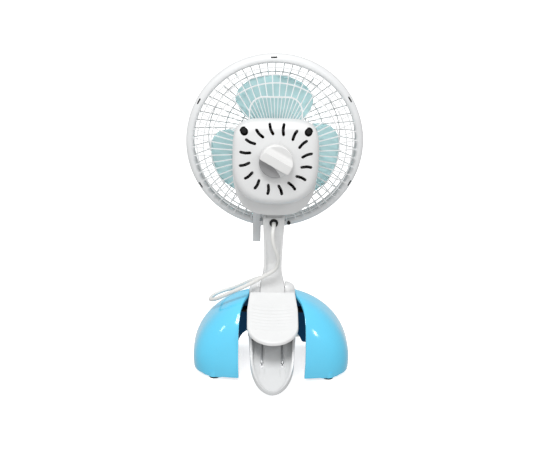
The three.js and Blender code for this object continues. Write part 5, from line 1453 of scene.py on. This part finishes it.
def make_front_guard():
    """The front cage: plain spokes from the cap to the rim, and three rings."""
    angles = [360 / SPOKES * (k + 1) for k in range(SPOKES)]
    shapes = spokes([(degrees, FRONT_HUB_RADIUS, RIM_INNER + 1) for degrees in angles], front_dish, 14)
    shapes.append(ring_rib(FRONT_HUB_RADIUS + 0.8, front_dish, 2.6, 2.4))
    shapes += [ring_rib(radius, front_dish) for radius in (36, 52, 69)]
    guard = raw_object("front_cage", moved(joined(*shapes), 0, 0, SHAFT_Z))
    inner, outer, low, high = RIM_INNER, GUARD_RADIUS, FRONT_RIM_FRONT_Y, FRONT_RIM_REAR_Y
    add_hoop(guard, [
        (inner, high), (outer, high), (outer, low + 4), (outer - 0.5, low + 2.2), (outer - 1.8, low + 0.9),
        (outer - 4, low), (inner + 2.4, low - 0.6), (inner, low - 0.2),
    ], low, high)
    finish_piece(guard, GUARD, "head", ["front_guard"])


def make_front_cap():
    """The plain disc in the middle of the front guard."""
    seat = front_guard_y(FRONT_HUB_RADIUS)
    stem = FRONT_HUB_RADIUS - 0.3
    profile = [(0, seat + RIB_DEPTH), (stem, seat + RIB_DEPTH), (stem, seat - 0.7),
               (CAP_RADIUS, seat - 0.5), (CAP_RADIUS, seat - 1.0), (CAP_RADIUS - 0.6, seat - 1.7),
               (CAP_RADIUS - 2.2, seat - 2.1), (CAP_RADIUS - 3, seat - 2.0), (CAP_RADIUS - 3.8, seat - 2.3),
               (10, seat - 3.0), (0, seat - 3.4)]
    finish_piece(raw_object("cage_badge", on_shaft(profile, 96)), WHITE, "head", ["front_cap"])


def make_latch():
    """The tongue that clips the two guards together under the rim."""
    front = REAR_RIM_Y + 0.3
    back = front + LATCH_THICKNESS
    under = -GUARD_RADIUS - 0.3
    lip = front_guard_y(GUARD_RADIUS - 4) - 0.3
    hook = lip - LATCH_THICKNESS
    top = rear_guard_y(LATCH_TOP) + 0.3
    knee = rear_guard_y(RIM_INNER) + 0.3
    outline = [(top + LATCH_THICKNESS, -LATCH_TOP), (knee + LATCH_THICKNESS, -RIM_INNER), (back, under),
               (back, -LATCH_END), (front, -LATCH_END), (front, under - LATCH_THICKNESS), (hook, under - 2),
               (hook, under + 4), (lip, under + 4), (lip, under), (front, under), (knee, -RIM_INNER),
               (top, -LATCH_TOP)]
    latch = raw_object("cage_latch", prism([(y, z + SHAFT_Z) for y, z in outline],
                                           LATCH_X - LATCH_HALF_WIDTH, LATCH_X + LATCH_HALF_WIDTH, "x"))
    soften(latch, 0.5, 3)
    finish_piece(latch, GUARD, "head", ["guard_latch"])


make_rear_guard()
make_front_guard()
make_front_cap()
make_latch()

# ---- rotor

BLADE_RADIUS = 69.0
BLADE_REAR_Y = -15.0
BLADE_FRONT_Y = -39.0
BLADE_THICKNESS = 1.8
BLADE_COUNT = 3
BLADE_HUB_RADIUS = 17.0
BLADE_ROOT_RADIUS = BLADE_HUB_RADIUS - 2.4
BLADE_FIRST_ANGLE = 88.0
BLADE_SPANS = [(0, 80), (0.2, 98), (0.39, 105), (0.6, 98), (0.82, 86), (0.92, 70), (0.97, 48), (1, 20)]
SHAFT_BORE = 2.8
FLUTES = 12


def blade_sheet(index):
    """One wide, pitched blade as a sheet of quads with rounded tip corners."""
    middle = BLADE_FIRST_ANGLE + 360 / BLADE_COUNT * index
    middle_y = (BLADE_REAR_Y + BLADE_FRONT_Y + BLADE_THICKNESS) / 2
    depth = BLADE_REAR_Y - BLADE_FRONT_Y - BLADE_THICKNESS
    rows = []
    for outward in evenly(0, 1, 22):
        share = sin(pi / 2 * outward) ** 0.8
        radius = BLADE_ROOT_RADIUS + (BLADE_RADIUS - BLADE_ROOT_RADIUS) * share
        pitch = 1 - 0.35 * share
        row = []
        for side in evenly(-0.5, 0.5, 28):
            turn = radians(middle + side * between(BLADE_SPANS, share))
            row.append((radius * cos(turn), middle_y + side * depth * pitch,
                        SHAFT_Z + radius * sin(turn)))
        rows.append(row)
    return skin(rows)


def make_blades():
    """The hub, a hollow cup on the shaft, with its three blades."""
    hub, rear, front = BLADE_HUB_RADIUS, BLADE_REAR_Y, BLADE_FRONT_Y - 3
    rotor = raw_object("fan_rotor", on_shaft([
        (SHAFT_BORE, rear), (6, rear), (6, front + 5), (15, front + 5), (15, rear), (hub, rear),
        (hub, front + 4), (hub - 1.2, front + 1.4), (hub - 4, front), (SHAFT_BORE, front),
    ], 72))
    soften(rotor, 0.4, 2, 50)
    for index in range(BLADE_COUNT):
        sheet = raw_object("blade", blade_sheet(index))
        thicken(sheet, BLADE_THICKNESS)
        soften(sheet, 0.5, 2, 50)
        attach(rotor, sheet)
    finish_piece(rotor, BLADE, "rotor", ["fan_blade"])


def make_spinner():
    """The nut that holds the blades: a fluted cap."""
    seat = BLADE_FRONT_Y - 3.3
    nut = raw_object("blade_cap", on_shaft([
        (SHAFT_BORE, seat), (6.1, seat), (6.1, seat - 3), (5.6, seat - 4.6), (4.6, seat - 6.6),
        (2.6, seat - 7.7), (0, seat - 8), (0, seat - 4), (SHAFT_BORE, seat - 4),
    ], 48))
    flutes = [bar("y", 0.7, seat - 9, seat + 2, (x, SHAFT_Z + z), 12) for x, z in circle(6.5, FLUTES)]
    combine(nut, joined(*flutes))
    finish_piece(nut, WHITE, "rotor", ["blade_nut"])


make_blades()
make_spinner()

# ---- plug

PLUG_SIDES = 48
PLUG_BOX_SHARE = 18.0
PIN_SOCKET_RADIUS = 2.3
PIN_OFFSET = 9.3
RELIEF_RIBS = 4
RELIEF_PITCH = 2.2
plug_low, plug_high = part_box("plug_body")


def plug_stations():
    """The plug's (place, half width, half height), through its strain relief and its body."""
    stations = [(0, 3.4, 3.2), (0.6, 3.6, 3.4)]
    for k in range(RELIEF_RIBS):
        at = 1.4 + RELIEF_PITCH * k
        grow = 0.35 * k
        for along, half_width, half_height in ((0, 3.7, 3.5), (0.3, 3, 3), (0.9, 3, 3), (1.2, 3.8, 3.6)):
            stations.append((at + along, half_width + grow, half_height + grow * 0.8))
    return stations + [(11, 6.6, 5.6), (14, 9.8, 6.5), (17, 11.8, 6.8), (20, 12.5, 6.9), (27, 12.3, 6.9),
                       (33, 11.9, 6.8), (34.4, 11.6, 6.5), (35, 10.9, 5.8)]


def make_plug():
    """A moulded two-pin plug: a ribbed strain relief that swells into the body."""
    start = plug_low.x / MM
    middle_y = ((plug_low.y + plug_high.y) / 2 - SHIFT_Y) / MM
    middle_z = (plug_low.z + plug_high.z) / 2 / MM
    rows = []
    for at, half_width, half_height in plug_stations():
        power = 2 + 1.6 * min(1, at / PLUG_BOX_SHARE)
        ring = []
        for c, s in circle(1, PLUG_SIDES):
            size = 1 / power_norm(c / half_width, s / half_height, power)
            ring.append((start + at, middle_y + size * c, middle_z + size * s))
        rows.append(ring)
    made = raw_object("plug_shell", skin(rows, closed=True, caps=True))
    for y in (middle_y + PIN_OFFSET, middle_y - PIN_OFFSET):
        combine(made, bar("x", PIN_SOCKET_RADIUS, start + 27, start + 40, (y, middle_z)))
    finish_piece(made, WHITE, "base", ["plug_body"])
    return made


plug = make_plug()

# ---- the frame's own pieces

NODE_MATERIALS = {
    "saddle_screw_left": STEEL, "saddle_screw_right": STEEL, "upper_jaw_pad": RUBBER, "lower_jaw_pad": RUBBER,
    "hinge_pin": STEEL, "fold_pin": STEEL, "tilt_bolt": STEEL, "tilt_nut": STEEL,
    "cover_screw_left": DARK_AND_PAINTED_SHADE, "cover_screw_right": DARK_AND_PAINTED_SHADE, "guard_screw": DARK_AND_PAINTED_SHADE, "switch_body": DARK_AND_PAINTED_SHADE,
    "stator_core": LAMINATIONS, "stator_winding": COPPER_PAINTED_SHADE, "front_bearing": BRASS, "rear_bearing": BRASS,
    "motor_bracket": STEEL, "motor_shaft": STEEL, "rotor_core": LAMINATIONS,
    "plug_pin_left": BRASS, "plug_pin_right": BRASS,
}
for node, material in NODE_MATERIALS.items():
    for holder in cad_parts[node].material_slots:
        holder.material = material

# ---- floor and light

FLOOR_REACH = 6.0
FLOOR_GREY = (0.9, 0.9, 0.9)
FLOOR_GLOW = 0.7
ROOM_LIGHT = 0.76
SIDEWAYS_FADE = ((0.35, 1), (0.95, 0.72))
HEIGHT_FADE = ((0.3, 0.95), (0.65, 1))
LIGHTS = {
    "key": ((0.25, 1.0, 1.75), (0, 0, 0.12), (0.8, 0.7), 23),
    "window": ((1.45, 0.85, 1.4), (0, 0, 0.05), (0.22, 0.3), 2),
    "fill": ((-1.1, 1.5, 1.25), (0, 0, 0.05), (0.12, 0.3), 3),
}


def area_light(name, at, aim, size, power):
    """A rectangular light at a place, turned to what it is aimed at."""
    data = bpy.data.lights.new(name, "AREA")
    data.shape = "RECTANGLE"
    data.size, data.size_y = size
    data.energy = power
    light = new_object(name, data)
    light.location = at
    light.rotation_mode = "QUATERNION"
    light.rotation_quaternion = (Vector(aim) - Vector(at)).to_track_quat("-Z", "Y")


def make_world():
    """A white room, greyer at its sides and below, so that white pieces turn grey towards their edges."""
    world = bpy.data.worlds.new("studio")
    world.use_nodes = True
    tree = world.node_tree
    way = tree.nodes.new("ShaderNodeTexCoord")
    split = tree.nodes.new("ShaderNodeSeparateXYZ")
    tree.links.new(way.outputs["Generated"], split.inputs["Vector"])
    sideways = tree.nodes.new("ShaderNodeMath")
    sideways.operation = "ABSOLUTE"
    tree.links.new(split.outputs["X"], sideways.inputs[0])
    height = tree.nodes.new("ShaderNodeMapRange")
    height.inputs["From Min"].default_value = -1
    tree.links.new(split.outputs["Z"], height.inputs["Value"])
    both = tree.nodes.new("ShaderNodeMixRGB")
    both.blend_type = "MULTIPLY"
    both.inputs["Fac"].default_value = 1
    for source, fade, target in ((sideways.outputs["Value"], SIDEWAYS_FADE, "Color1"),
                                 (height.outputs["Result"], HEIGHT_FADE, "Color2")):
        stops = [(position, (grey, grey, grey)) for position, grey in fade]
        tree.links.new(ramp_between(tree, source, *stops), both.inputs[target])
    background = tree.nodes["Background"]
    tree.links.new(both.outputs["Color"], background.inputs["Color"])
    background.inputs["Strength"].default_value = ROOM_LIGHT
    return world


def make_stage():
    """The floor, the room and the lights."""
    sheet = bpy.data.meshes.new("floor")
    corners = [(-1, -1), (1, -1), (1, 1), (-1, 1)]
    sheet.from_pydata([(FLOOR_REACH * x, FLOOR_REACH * y, 0) for x, y in corners], [], [(0, 1, 2, 3)])
    floor = new_object("floor", sheet)
    sheet.materials.append(surface("floor", FLOOR_GREY, 0.8, drift=0.01, Specular_IOR_Level=0.1,
                                   Emission_Color=(1, 1, 1, 1), Emission_Strength=FLOOR_GLOW))
    floor.visible_diffuse = False
    floor.visible_glossy = False
    bpy.context.scene.world = make_world()
    for name, light in LIGHTS.items():
        area_light(name, *light)
    bpy.context.scene.view_settings.view_transform = "Standard"


make_stage()
